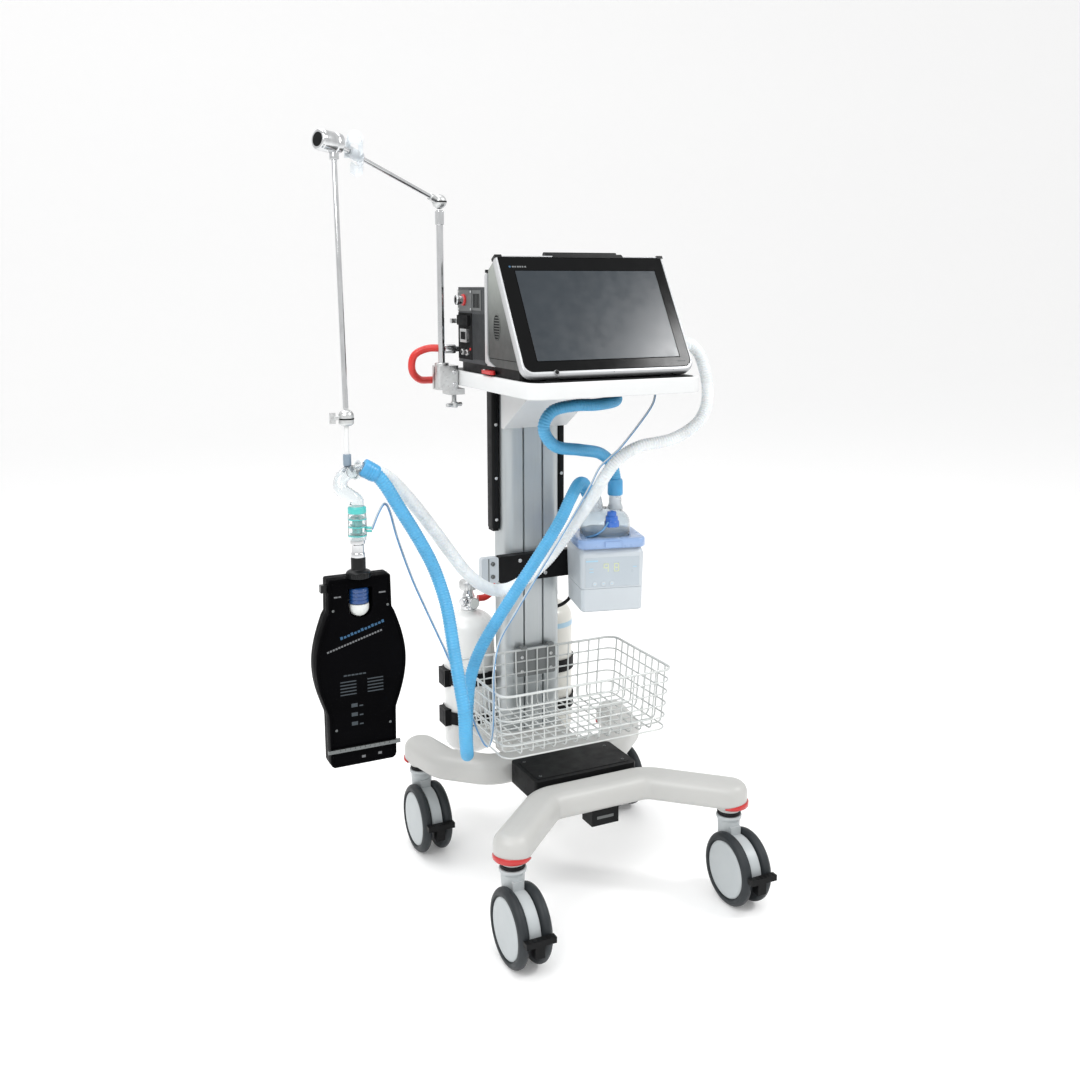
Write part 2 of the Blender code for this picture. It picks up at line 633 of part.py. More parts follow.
def build_arm_base(mats):
    outer = -TRAY_HALF - GAP
    body = block((outer - 0.040, POST.y - 0.016, 0.8735), (outer, POST.y + 0.016, 0.9150))
    clamp = place("rail_clamp", body, mats["silver"])
    bore = lathe([(POST_RADIUS + 0.0006, 0.880), (POST_RADIUS + 0.0006, 1.0)], 24, "Z", (POST.x, POST.y, 0))
    cut(clamp, place("bore", bore, mats["silver"]))
    jaw = block((outer - 0.020, POST.y - 0.016, 0.8640), (outer + 0.010, POST.y + 0.016, 0.8740))
    fuse(clamp, place("jaw", jaw, mats["silver"]))
    head = Vector((outer - 0.006, POST.y - 0.004, 0.8636))
    screw = place("clamp_screw", rod(head, head - Vector((0, 0, 0.0170)), 0.0045), mats["silver"], head)
    bar_at = head - Vector((0, 0, 0.0180))
    half_bar = Vector((0.016, 0.006, 0))
    fuse(screw, place("bar", rod(bar_at - half_bar, bar_at + half_bar, 0.0040), mats["silver"]))


def direction(start, end):
    return (Vector(end) - Vector(start)).normalized()


def build_arm(mats):
    build_arm_base(mats)
    place("arm_post", rod((POST.x, POST.y, 0.8810), ELBOW - Vector((0, 0, 0.0135)), POST_RADIUS),
          mats["chrome"], (POST.x, POST.y, 0.8810), smooth=40)
    along = direction(ELBOW, ARM_END)
    knob = [(0.004, -0.0125), (0.009, -0.0105), (0.0125, -0.004), (0.0125, 0.006), (0.0105, 0.010),
            (0.006, 0.012)]
    knob = place("upper_rod", lathe(knob, 24, "Z", ELBOW), mats["chrome"], ELBOW, smooth=40)
    fuse(knob, place("bar", rod(ELBOW, ARM_END - along * 0.0200, 0.0042), mats["chrome"]))
    down = direction(ARM_END, LOWER_JOINT)
    joint = rod(ARM_END + Vector((0.010, 0.004, -0.0015)), ARM_END - Vector((0.028, 0.012, -0.003)),
                0.0165, 24)
    drop = place("drop_rod", joint, mats["chrome"], ARM_END, smooth=40)
    fuse(drop, place("bar", rod(ARM_END, LOWER_JOINT - down * 0.0135, 0.0042), mats["chrome"]))
    build_hanger(mats)


def build_hanger(mats):
    """Lower joint, hanging rod and the clip that holds the Y-piece."""
    joint = lathe([(0.007, -0.013), (0.012, -0.010), (0.012, 0.006), (0.0085, 0.010), (0.004, 0.0125)],
                  16, "Z", LOWER_JOINT)
    hanger = place("hanger", joint, mats["silver"], LOWER_JOINT)
    screw = rod(LOWER_JOINT, LOWER_JOINT + Vector((-0.026, 0, 0)), 0.0035, 12)
    clip_top = Vector((-0.4065, -0.0400, 0.7930))
    stem = rod(LOWER_JOINT, clip_top, 0.0035, 12)
    clip = rod(clip_top + Vector((0, 0, 0.002)), clip_top - Vector((0, 0, 0.014)), 0.0065, 16)
    fuse(hanger, *[place("bit", shape, mats["silver"]) for shape in (screw, stem, clip)])
    bend = [(-0.3900, -0.0440, 0.7660), (-0.4070, -0.0440, 0.7670), (-0.4190, -0.0470, 0.7580),
            (-0.4210, -0.0530, 0.7440), (-0.4100, -0.0580, 0.7340),
            (CIRCUIT_X - 0.001, CIRCUIT_Y, 0.7260), (CIRCUIT_X, CIRCUIT_Y, 0.7175)]
    cord("y_piece", bend, 0.0115, mats["clear"], 0.006)
    tube = lathe([(0.0120, 0.7160), (0.0120, 0.7080), (0.0145, 0.7060), (0.0145, 0.6600), (0.0100, 0.6480),
                  (0.0100, 0.6360)], 24, "Z", (CIRCUIT_X, CIRCUIT_Y, 0))
    place("flow_sensor", tube, mats["clear"], smooth=40)


def lung_outline():
    """Face of the test lung: square shoulders, round belly, straight foot."""
    right = [(0.0500, LUNG_TOP), (0.0510, 0.5520)]
    for step in range(1, 8):
        angle = pi * step / 8
        right.append((0.0525 + 0.0205 * sin(angle), 0.5520 - 0.1720 * step / 8))
    right += [(0.0545, 0.3800), (0.0540, LUNG_FOOT + 0.008), (0.0480, LUNG_FOOT)]
    return right + [(-x, z) for x, z in reversed(right)]


def build_test_lung(mats):
    axis = (CIRCUIT_X, CIRCUIT_Y, 0)
    outline = [(x + CIRCUIT_X, z) for x, z in lung_outline()]
    lung = place("test_lung", prism(outline, CIRCUIT_Y - 0.006, CIRCUIT_Y + 0.028, "Y"), mats["black"],
                 (CIRCUIT_X, CIRCUIT_Y, LUNG_TOP))
    corners = [(-0.0195, 0.5400), (0.0195, 0.5400), (0.0195, 0.5880), (-0.0195, 0.5880)]
    window = round_corners(corners, [0.018, 0.018, 0.001, 0.001], 5)
    window = prism([(x + CIRCUIT_X, z) for x, z in window], CIRCUIT_Y - 0.02, CIRCUIT_Y + 0.0220, "Y")
    cut(lung, place("window", window, mats["black"]))
    collar = lathe([(0.0190, LUNG_TOP - 0.002), (0.0190, LUNG_TOP + 0.009), (0.0115, LUNG_TOP + 0.012),
                    (0.0115, 0.6356)], 24, "Z", axis)
    fuse(lung, place("collar", collar, mats["black"]))
    knob = lathe([(0.0145, 0.5620), (0.0155, 0.5640), (0.0155, 0.5850), (0.0145, 0.5872)], 24, "Z",
                 (CIRCUIT_X, CIRCUIT_Y + 0.004, 0))
    place("resistance_knob", knob, mats["cap_blue"], (CIRCUIT_X, CIRCUIT_Y + 0.004, 0.5620), smooth=40)
    slider = block((CIRCUIT_X - 0.0590, CIRCUIT_Y - 0.0115, 0.3260),
                   (CIRCUIT_X + 0.0590, CIRCUIT_Y - 0.0064, 0.3320))
    place("compliance_bar", slider, mats["silver"], (CIRCUIT_X, CIRCUIT_Y, 0.3290))


# ---------------------------------------------------------------- hoses and lines

BLUE_FEED_ROUTE = [
    (0.095, MODULE_BACK + 0.014, 0.965), (0.095, 0.172, 0.960), (0.096, 0.213, 0.935), (0.102, 0.217, 0.885),
    (0.112, 0.192, 0.858), (0.122, 0.140, 0.857), (0.124, 0.070, 0.857), (0.098, 0.010, 0.851),
    (0.050, -0.009, 0.848), (0.004, -0.013, 0.849), (-0.036, -0.008, 0.840), (-0.050, -0.004, 0.810),
    (-0.024, 0.004, 0.778), (0.034, 0.024, 0.765), (0.088, 0.048, 0.752), (0.1150, 0.0540, 0.730),
    (0.1234, 0.0535, 0.702), (0.1234, 0.0535, 0.6762),
]
BLUE_PATIENT_ROUTE = [
    (0.0606, 0.0362, 0.6792), (0.0520, 0.0300, 0.6910), (0.0400, 0.0200, 0.7050),
    (0.0210, 0.0045, 0.7065), (-0.0030, -0.0120, 0.6850), (-0.0260, -0.0200, 0.6520),
    (-0.0640, -0.0240, 0.6020),
    (-0.1040, -0.0200, 0.5460), (-0.1430, -0.0140, 0.4890), (-0.1720, -0.0060, 0.4380),
    (-0.1900, -0.0040, 0.3900), (-0.2010, -0.0150, 0.3400), (-0.2090, -0.0300, 0.3020),
    (-0.2190, -0.0560, 0.2810), (-0.2310, -0.0850, 0.2920), (-0.2400, -0.1020, 0.3270),
    (-0.2430, -0.1050, 0.3720), (-0.2460, -0.0970, 0.4100), (-0.2490, -0.0820, 0.4620),
    (-0.2500, -0.0620, 0.5150), (-0.2540, -0.0520, 0.5500), (-0.2680, -0.0440, 0.5990),
    (-0.2930, -0.0480, 0.6480), (-0.3280, -0.0520, 0.7070), (-0.3500, -0.0540, 0.7440),
    (-0.3660, -0.0530, 0.7640), (-0.3790, -0.0510, 0.7720),
]
WHITE_ROUTE = [
    (0.1970, -0.0580, 0.9520), (0.2090, -0.0580, 0.9510), (0.2220, -0.0610, 0.9390),
    (0.2300, -0.0660, 0.9200), (0.2360, -0.0740, 0.8800), (0.2300, -0.0800, 0.8420),
    (0.2060, -0.0840, 0.8120), (0.1600, -0.0800, 0.7890), (0.1050, -0.0680, 0.7790),
    (0.0720, -0.0560, 0.7600), (0.0520, -0.0420, 0.7300), (0.0400, -0.0130, 0.6840),
    (0.0290, 0.0200, 0.6400), (0.0060, 0.0340, 0.6020), (-0.0260, 0.0440, 0.5620),
    (-0.0700, 0.0460, 0.5320), (-0.1110, 0.0400, 0.5230), (-0.1480, 0.0300, 0.5360),
    (-0.1860, 0.0180, 0.5680), (-0.2180, 0.0080, 0.6080), (-0.2480, -0.0020, 0.6480),
    (-0.2860, -0.0100, 0.6980), (-0.3260, -0.0140, 0.7440), (-0.3560, -0.0190, 0.7640),
    (-0.3790, -0.0250, 0.7690),
]
RED_ROUTE = [
    (-0.1700, 0.1340, 0.9430), (-0.2000, 0.1480, 0.9440), (-0.2240, 0.1560, 0.9320),
    (-0.2260, 0.1640, 0.9060), (-0.2080, 0.1780, 0.8880), (-0.1800, 0.1960, 0.8840),
    (-0.1500, 0.2070, 0.8840), (-0.1100, 0.2130, 0.8800), (-0.0600, 0.2280, 0.8660),
    (-0.0220, 0.2450, 0.8360), (-0.0060, 0.2560, 0.7800), (-0.0040, 0.2580, 0.7000),
    (-0.0060, 0.2590, 0.6000), (-0.0120, 0.2600, 0.5200), (-0.0260, 0.2605, 0.4720),
    (-0.0460, 0.2610, 0.4495), (-0.0655, 0.2612, 0.4470),
]
SENSOR_ROUTE = [
    (-0.3790, -0.0700, 0.6800), (-0.3658, -0.0640, 0.7040), (-0.3504, -0.0480, 0.7140),
    (-0.3336, -0.0230, 0.6950), (-0.3156, -0.0065, 0.6440), (-0.2864, 0.0120, 0.5720),
    (-0.2600, 0.0226, 0.5145), (-0.2247, 0.0260, 0.4350), (-0.1980, 0.0220, 0.3680),
    (-0.1860, 0.0080, 0.3240), (-0.1790, -0.0120, 0.2900), (-0.1745, -0.0378, 0.2742),
    (-0.1740, -0.0564, 0.3021), (-0.1730, -0.0618, 0.3570), (-0.1690, -0.0546, 0.4124),
    (-0.1520, -0.0420, 0.4596), (-0.1251, -0.0500, 0.5090), (-0.0899, -0.0550, 0.5649),
    (-0.0521, -0.0550, 0.6180), (-0.0114, -0.0520, 0.6740), (0.0129, -0.0570, 0.7161),
    (0.0231, -0.0690, 0.7467), (0.0369, -0.0790, 0.7644), (0.0544, -0.0880, 0.7834),
    (0.0888, -0.0940, 0.8245), (0.1121, -0.0940, 0.8540), (0.1222, -0.0880, 0.8772),
]
CABLE_ROUTE = [
    (0.0980, 0.1230, 0.4850), (0.1000, 0.1340, 0.4790), (0.0980, 0.1480, 0.4700), (0.0900, 0.1620, 0.4590),
    (0.0860, 0.1720, 0.4470), (0.0760, 0.1760, 0.4390), (0.0620, 0.1780, 0.4350),
]


def build_hoses(mats):
    cord("blue_feed_hose", BLUE_FEED_ROUTE, HOSE_RADIUS, mats["hose_blue"], 0.030)
    cord("blue_patient_hose", BLUE_PATIENT_ROUTE, HOSE_RADIUS, mats["hose_blue"], 0.030)
    cord("white_hose", WHITE_ROUTE, HOSE_RADIUS, mats["hose_white"], 0.030)
    cord("gas_supply_hose", RED_ROUTE, GAS_HOSE_RADIUS, mats["red"], 0.018)
    cord("sensor_line", SENSOR_ROUTE, SENSOR_RADIUS, mats["hose_white"], 0.030)
    cord("humidifier_cable", CABLE_ROUTE, CABLE_RADIUS, mats["black"], 0.010, 2)


def make_materials():
    return {
        "shell": make_material("shell_grey", (0.74, 0.76, 0.75), 0.45),
        "silver": make_material("satin_silver", (0.62, 0.64, 0.64), 0.38, 0.9),
        "aluminium": make_material("anodised_aluminium", (0.66, 0.69, 0.71), 0.35, 0.8),
        "chrome": make_material("chrome", (0.78, 0.80, 0.80), 0.12, 1.0),
        "black": make_material("black_plastic", (0.012, 0.013, 0.015), 0.5),
        "graphite": make_material("graphite_plastic", (0.065, 0.072, 0.078), 0.5),
        "tyre": make_material("tyre_rubber", (0.035, 0.042, 0.048), 0.7),
        "glass": make_material("display_glass", (0.02, 0.028, 0.036), 0.08),
        "red": make_material("red_plastic", (0.55, 0.02, 0.02), 0.4),
        "bottle": make_material("bottle_white", (0.72, 0.72, 0.69), 0.4),
        "wire": make_material("white_wire", (0.80, 0.81, 0.79), 0.4),
        "panel_grey": make_material("humidifier_grey", (0.66, 0.71, 0.74), 0.45),
        "lilac": make_material("lilac_plastic", (0.42, 0.52, 0.78), 0.4),
        "clear": make_material("clear_plastic", (0.90, 0.93, 0.94), 0.1, 0.0, 0.8),
        "cap_blue": make_material("deep_blue", (0.02, 0.12, 0.45), 0.35),
        "hose_blue": make_material("hose_blue", (0.10, 0.42, 0.78), 0.4),
        "hose_white": make_material("hose_white", (0.80, 0.83, 0.83), 0.4),
    }


def main():
    clear_scene()
    mats = make_materials()
    build_base(mats)
    build_column(mats)
    build_humidifier_bracket(mats)
    build_bottles(mats)
    build_basket(mats)
    build_tray(mats)
    build_ventilator(mats)
    build_humidifier(mats)
    build_arm(mats)
    build_test_lung(mats)
    build_hoses(mats)
    frame = bpy.data.objects.new("assembly", None)
    frame.location = ORIGIN_SHIFT
    bpy.context.scene.collection.objects.link(frame)
    for part in bpy.context.scene.objects:
        if part != frame:
            part.parent = frame


main()
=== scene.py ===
"""Looks of a mechanical ventilator on its trolley, with humidifier, breathing circuit and test lung.

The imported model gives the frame; every visible piece is built here around it. Places are written in
metres from the centre of the four swivel axes on the floor, and SHIFT takes them to the row frame.
"""
from math import cos, pi, radians, sin, tan

import bmesh
import bpy
from mathutils import Matrix, Vector


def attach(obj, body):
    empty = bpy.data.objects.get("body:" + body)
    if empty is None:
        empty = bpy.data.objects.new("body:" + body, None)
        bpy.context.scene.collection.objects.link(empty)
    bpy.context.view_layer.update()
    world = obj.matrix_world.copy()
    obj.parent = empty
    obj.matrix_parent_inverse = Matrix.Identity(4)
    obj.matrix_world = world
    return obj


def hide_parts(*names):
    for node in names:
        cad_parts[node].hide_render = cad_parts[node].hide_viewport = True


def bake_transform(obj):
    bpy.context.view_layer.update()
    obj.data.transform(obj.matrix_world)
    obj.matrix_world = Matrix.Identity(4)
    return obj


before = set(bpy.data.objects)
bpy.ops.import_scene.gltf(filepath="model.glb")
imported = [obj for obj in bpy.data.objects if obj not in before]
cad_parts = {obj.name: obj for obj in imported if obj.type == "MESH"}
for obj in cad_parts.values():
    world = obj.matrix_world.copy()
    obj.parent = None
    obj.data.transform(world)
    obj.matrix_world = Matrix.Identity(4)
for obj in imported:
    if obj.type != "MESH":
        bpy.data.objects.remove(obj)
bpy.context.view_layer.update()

SHIFT = Vector((0.1175, 0.0010, 0.0))
GAP = 0.0004

# Casters and base
WHEEL_RADIUS = 0.0625
WHEEL_WIDTH = 0.018
WHEEL_SPACE = 0.022
TRACK_X = 0.206
TRACK_Y = 0.210
TRAIL = 0.030
FENDER_RADIUS = 0.054
NECK_TOP = 0.147
BEAM_BOTTOM = 0.163
BEAM_TOP = 0.206
BEAM_HALF = 0.031
BEAM_ROUND = 0.019
FRONT_BEAM_Y = -0.105
REAR_BEAM_Y = 0.065

# Column, basket and bottles
COLUMN_FRONT = 0.146
COLUMN_BACK = 0.206
COLUMN_HALF = 0.0595
COLUMN_TOP = 0.868
GROOVE_X = 0.0195
BASKET_HALF = 0.1675
BASKET_FRONT = -0.085
BASKET_BACK = 0.133
BASKET_BOTTOM = 0.262
BASKET_TOP = 0.377
BOTTLE_RADIUS = 0.050
BOTTLE_X = 0.085
BOTTLE_Y = 0.2615
BOTTLE_FOOT = 0.140
BOTTLE_SHOULDER = 0.425
STRAP_HEIGHTS = (0.222, 0.301)

# Tray and ventilator
TRAY_HALF = 0.158
TRAY_FRONT = -0.183
TRAY_BACK = 0.192
TRAY_TOP = 0.9060
RAIL_HEIGHT = 0.026
UNIT_HALF = 0.156
UNIT_BOTTOM = TRAY_TOP + 0.0164
PANEL_FOOT = Vector((0.0, -0.1568, 0.9145))
PANEL_SLOPE = radians(30.7)
PANEL_HEIGHT = 0.2195
PANEL_THICK = 0.014
MID_FRAME_Y = -0.0100
HOUSING_TOP = 1.068
MODULE_BACK = 0.1215
MODULE_TOP = 1.0505
EXHALE_AXIS = (0, -0.0580, 0.9520)

# Humidifier
HUMIDIFIER_FRONT = Vector((0.0900, 0.0020, 0.4690))
HUMIDIFIER_TURN = radians(-14.0)
HUMIDIFIER_WIDTH = 0.120
HUMIDIFIER_DEPTH = 0.112
HUMIDIFIER_HEIGHT = 0.116

# Support arm and patient side
POST = Vector((-0.1850, 0.1250, 0.0))
ELBOW = Vector((-0.1850, 0.1250, 1.1950))
ARM_END = Vector((-0.4000, 0.0100, 1.2710))
LOWER_JOINT = Vector((-0.4040, -0.0320, 0.8520))
CIRCUIT = Vector((-0.3990, -0.0600, 0.0))
LUNG_TOP = 0.605
LUNG_FOOT = 0.300

HOSE_RADIUS = 0.011
GAS_HOSE_RADIUS = 0.0065
SENSOR_RADIUS = 0.0022
CABLE_RADIUS = 0.0034


# ---------------------------------------------------------------- mesh tools

def soften(shape, width, segments=2, angle=30):
    """Round every edge of a mesh that is sharper than the angle."""
    edges = [e for e in shape.edges if len(e.link_faces) == 2 and e.calc_face_angle(0) > radians(angle)]
    bmesh.ops.bevel(shape, geom=edges, offset=width, segments=segments, profile=0.5, affect="EDGES",
                    clamp_overlap=True)
    return shape


def piece(name, shape, materials, body="trolley", replaces=(), smooth=40, turn=None):
    """Make an object that rides on a body. The shape is in the trolley's places, or in turn's own frame."""
    if turn is not None:
        shape.transform(turn)
    shape.transform(Matrix.Translation(SHIFT))
    bmesh.ops.recalc_face_normals(shape, faces=shape.faces)
    mesh = bpy.data.meshes.new(name)
    shape.to_mesh(mesh)
    shape.free()
    for material in materials if isinstance(materials, (list, tuple)) else [materials]:
        mesh.materials.append(material)
    mesh.shade_smooth()
    mesh.set_sharp_from_angle(angle=radians(smooth))
    made = bpy.data.objects.new(name, mesh)
    bpy.context.scene.collection.objects.link(made)
    if body is not None:
        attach(made, body)
    if replaces:
        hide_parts(*replaces)
    return made


def merged(*shapes):
    """Join shapes into one. A (shape, number) pair takes that material slot."""
    whole = bmesh.new()
    for entry in shapes:
        shape, index = entry if isinstance(entry, tuple) else (entry, 0)
        for face in shape.faces:
            face.material_index = index
        mesh = bpy.data.meshes.new("part")
        shape.to_mesh(mesh)
        shape.free()
        whole.from_mesh(mesh)
        bpy.data.meshes.remove(mesh)
    return whole


def loft(outlines, closed=True):
    """Close a stack of 3-D outlines that have the same number of points."""
    shape = bmesh.new()
    rings = [[shape.verts.new(point) for point in outline] for outline in outlines]
    count = len(rings[0])
    for low, high in zip(rings, rings[1:]):
        for i in range(count):
            j = (i + 1) % count
            shape.faces.new((low[i], low[j], high[j], high[i]))
    if closed:
        shape.faces.new(list(reversed(rings[0])))
        shape.faces.new(rings[-1])
    return shape


def on_axis(axis, a, b, along):
    """A point from two coordinates of an outline and the distance along the axis."""
    if axis == "X":
        return Vector((along, a, b))
    if axis == "Y":
        return Vector((a, along, b))
    return Vector((a, b, along))


def prism(outline, low, high, axis="Z", edge=0.0, segments=2):
    """A straight body of an outline, with its edges rounded by edge."""
    shape = loft([[on_axis(axis, a, b, along) for a, b in outline] for along in (low, high)])
    return soften(shape, edge, segments) if edge else shape


def round_corners(corners, radii, steps=5):
    """Replace each corner of a closed outline with an arc of the given radius."""
    outline = []
    count = len(corners)
    for i, corner in enumerate(corners):
        radius = radii[i] if isinstance(radii, (list, tuple)) else radii
        here = Vector(corner)
        before = (Vector(corners[i - 1]) - here).normalized()
        after = (Vector(corners[(i + 1) % count]) - here).normalized()
        if radius <= 0.0:
            outline.append(tuple(here))
            continue
        half = before.angle(after) / 2
        centre = here + (before + after).normalized() * (radius / sin(half))
        first = here + before * (radius / tan(half)) - centre
        last = here + after * (radius / tan(half)) - centre
        sweep = -first.angle_signed(last)
        for step in range(steps + 1):
            outline.append(tuple(centre + Matrix.Rotation(sweep * step / steps, 2) @ first))
    return outline


def rectangle(low_a, high_a, low_b, high_b, radius=0.0, steps=5):
    corners = [(low_a, low_b), (high_a, low_b), (high_a, high_b), (low_a, high_b)]
    return round_corners(corners, radius, steps) if radius else corners


def soft_block(low, high, edge=0.001, segments=2):
    return prism(rectangle(low[0], high[0], low[1], high[1]), low[2], high[2], "Z", edge, segments)


def ring_points(radius, count, start=0.0):
    return [(radius * cos(start + 2 * pi * i / count), radius * sin(start + 2 * pi * i / count))
            for i in range(count)]


def lathe(profile, segments=40, axis="Z", centre=(0, 0, 0)):
    """Turn a profile of (radius, height) pairs, from one end cap to the other."""
    shape = loft([[on_axis(axis, a, b, height) for a, b in ring_points(radius, segments)]
                  for radius, height in profile])
    shape.transform(Matrix.Translation(Vector(centre)))
    return shape


def turned_ring(profile, segments=40, axis="Z", centre=(0, 0, 0)):
    """Turn a closed profile that stays clear of the axis: a ring, a sleeve or a hollow dome."""
    rings = [[on_axis(axis, a, b, height) for a, b in ring_points(radius, segments)]
             for radius, height in profile]
    shape = bmesh.new()
    loops = [[shape.verts.new(point) for point in ring] for ring in rings]
    for low, high in zip(loops, loops[1:] + loops[:1]):
        for i in range(segments):
            j = (i + 1) % segments
            shape.faces.new((low[i], low[j], high[j], high[i]))
    shape.transform(Matrix.Translation(Vector(centre)))
    return shape


def fillet(profile, radius, steps=4):
    """Round the inner corners of a lathe profile, except where it has no room."""
    points = [Vector(point) for point in profile]
    smooth = [points[0]]
    for before, here, after in zip(points, points[1:], points[2:]):
        room = min((here - before).length, (after - here).length) * 0.49
        size = min(radius, room)
        start = here + (before - here).normalized() * size
        end = here + (after - here).normalized() * size
        for step in range(steps + 1):
            t = step / steps
            smooth.append(start * (1 - t) ** 2 + here * 2 * t * (1 - t) + end * t ** 2)
    smooth.append(points[-1])
    return [tuple(point) for point in smooth]


def toward(start, end):
    """The turn and move that take the Z axis from start to end."""
    along = Vector(end) - Vector(start)
    return Matrix.Translation(Vector(start)) @ along.to_track_quat("Z", "Y").to_matrix().to_4x4()


def rod(start, end, radius, segments=24, edge=0.0):
    """Round bar with filleted ends."""
    length = (Vector(end) - Vector(start)).length
    profile = [(radius, 0.0), (radius, length)]
    if edge:
        profile = fillet([(radius * 0.2, 0.0), (radius, 0.0), (radius, length), (radius * 0.2, length)], edge)
    shape = lathe(profile, segments)
    shape.transform(toward(start, end))
    return shape


def sweep(points, radii, sides=12, capped=True):
    """Tube through points; radii is one radius, or one for each point."""
    points = [Vector(point) for point in points]
    radii = radii if isinstance(radii, (list, tuple)) else [radii] * len(points)
    tangents = [(points[min(i + 1, len(points) - 1)] - points[max(i - 1, 0)]).normalized()
                for i in range(len(points))]
    normal = tangents[0].orthogonal().normalized()
    rings = []
    for i, (point, tangent) in enumerate(zip(points, tangents)):
        if i:
            normal = (tangents[i - 1].rotation_difference(tangent) @ normal).normalized()
        other = tangent.cross(normal)
        rings.append([point + (normal * a + other * b) for a, b in ring_points(radii[i], sides)])
    return loft(rings, capped)


def smooth_route(points, spacing):
    """Read points at an even spacing from a smooth curve through the route points."""
    points = [Vector(point) for point in points]
    padded = [points[0] * 2 - points[1]] + points + [points[-1] * 2 - points[-2]]
    fine = []
    for a, b, c, d in zip(padded, padded[1:], padded[2:], padded[3:]):
        for step in range(40):
            t = step / 40
            bend = (a * -1 + b * 3 - c * 3 + d) * t ** 3 + (a * 2 - b * 5 + c * 4 - d) * t ** 2
            fine.append((bend + (c - a) * t + b * 2) / 2)
    fine.append(points[-1])
    lengths = [0.0]
    for near, far in zip(fine, fine[1:]):
        lengths.append(lengths[-1] + (far - near).length)
    count = max(2, round(lengths[-1] / spacing))
    route = []
    index = 0
    for step in range(count + 1):
        wanted = lengths[-1] * step / count
        while index < len(fine) - 2 and lengths[index + 1] < wanted:
            index += 1
        span = lengths[index + 1] - lengths[index]
        route.append(fine[index].lerp(fine[index + 1], (wanted - lengths[index]) / span))
    return route


def bend_path(points, radius, steps=8):
    """An open plan path with its inner corners turned into arcs."""
    path = [Vector(points[0])]
    for before, here, after in zip(points, points[1:], points[2:]):
        path += [Vector(point)
                 for point in round_corners([before, here, after], [0.0, radius, 0.0], steps)[1:-1]]
    path.append(Vector(points[-1]))
    return path


def half_round(centre, start, steps):
    """Points between the two ends of a half circle that begins at start."""
    return [centre + Matrix.Rotation(pi * step / steps, 2) @ (start - centre) for step in range(1, steps)]


def strip_outline(path, half, steps=14):
    """Offset a plan path to both sides and close it with two half rounds."""
    left = []
    right = []
    for i, here in enumerate(path):
        ahead = (path[min(i + 1, len(path) - 1)] - path[max(i - 1, 0)]).normalized()
        normal = Vector((-ahead.y, ahead.x))
        left.append(here + normal * half)
        right.append(here - normal * half)
    return right + half_round(path[-1], right[-1], steps) + left[::-1] + half_round(path[0], left[0], steps)


def mirrored(points):
    """An outline's right half, given from top to bottom, closed with its mirror image."""
    return points + [(-x, z) for x, z in reversed(points)]


def socket_screw(centre, axis, radius, height):
    """Round screw head with a hexagonal socket, standing up from centre along the axis."""
    profile = fillet([(radius * 0.5, height * 0.35), (radius * 0.5, height), (radius * 0.8, height),
                      (radius, height * 0.75), (radius, 0.0)], height * 0.1, 2)
    head = lathe(profile, 18)
    floor = lathe([(radius * 0.52, 0.0), (radius * 0.52, height * 0.36)], 6)
    shape = merged(head, floor)
    shape.transform(toward(centre, Vector(centre) + Vector(axis)))
    return shape


# ---------------------------------------------------------------- materials

def shader_of(name, colour, roughness, metallic=0.0):
    material = bpy.data.materials.new(name)
    material.use_nodes = True
    shader = material.node_tree.nodes["Principled BSDF"]
    shader.inputs["Base Color"].default_value = (*colour, 1.0)
    shader.inputs["Roughness"].default_value = roughness
    shader.inputs["Metallic"].default_value = metallic
    return material, shader


def noise_field(material, scale, detail=3.0, stretch=(1, 1, 1)):
    """Noise over the object's own coordinates, stretched along an axis for brushed or drawn surfaces."""
    nodes = material.node_tree.nodes
    links = material.node_tree.links
    place = nodes.new("ShaderNodeTexCoord")
    mapping = nodes.new("ShaderNodeMapping")
    mapping.inputs["Scale"].default_value = stretch
    links.new(place.outputs["Object"], mapping.inputs["Vector"])
    noise = nodes.new("ShaderNodeTexNoise")
    noise.inputs["Scale"].default_value = scale
    noise.inputs["Detail"].default_value = detail
    links.new(mapping.outputs["Vector"], noise.inputs["Vector"])
    return noise


def vary_colour(material, shader, noise, dark, light):
    """Colour that wanders between two tones."""
    ramp = material.node_tree.nodes.new("ShaderNodeValToRGB")
    ramp.color_ramp.elements[0].position = 0.35
    ramp.color_ramp.elements[0].color = (*dark, 1.0)
    ramp.color_ramp.elements[1].position = 0.65
    ramp.color_ramp.elements[1].color = (*light, 1.0)
    material.node_tree.links.new(noise.outputs["Fac"], ramp.inputs["Fac"])
    material.node_tree.links.new(ramp.outputs["Color"], shader.inputs["Base Color"])


def vary_roughness(material, shader, noise, low, high):
    spread = material.node_tree.nodes.new("ShaderNodeMapRange")
    spread.inputs["From Min"].default_value = 0.3
    spread.inputs["From Max"].default_value = 0.7
    spread.inputs["To Min"].default_value = low
    spread.inputs["To Max"].default_value = high
    material.node_tree.links.new(noise.outputs["Fac"], spread.inputs["Value"])
    material.node_tree.links.new(spread.outputs["Result"], shader.inputs["Roughness"])


def add_grain(material, shader, scale, strength, distance=0.0002, stretch=(1, 1, 1)):
    """Fine surface relief from noise."""
    noise = noise_field(material, scale, 2.0, stretch)
    bump = material.node_tree.nodes.new("ShaderNodeBump")
    bump.inputs["Strength"].default_value = strength
    bump.inputs["Distance"].default_value = distance
    material.node_tree.links.new(noise.outputs["Fac"], bump.inputs["Height"])
    material.node_tree.links.new(bump.outputs["Normal"], shader.inputs["Normal"])


def tone(colour, factor):
    return tuple(min(1.0, channel * factor) for channel in colour)


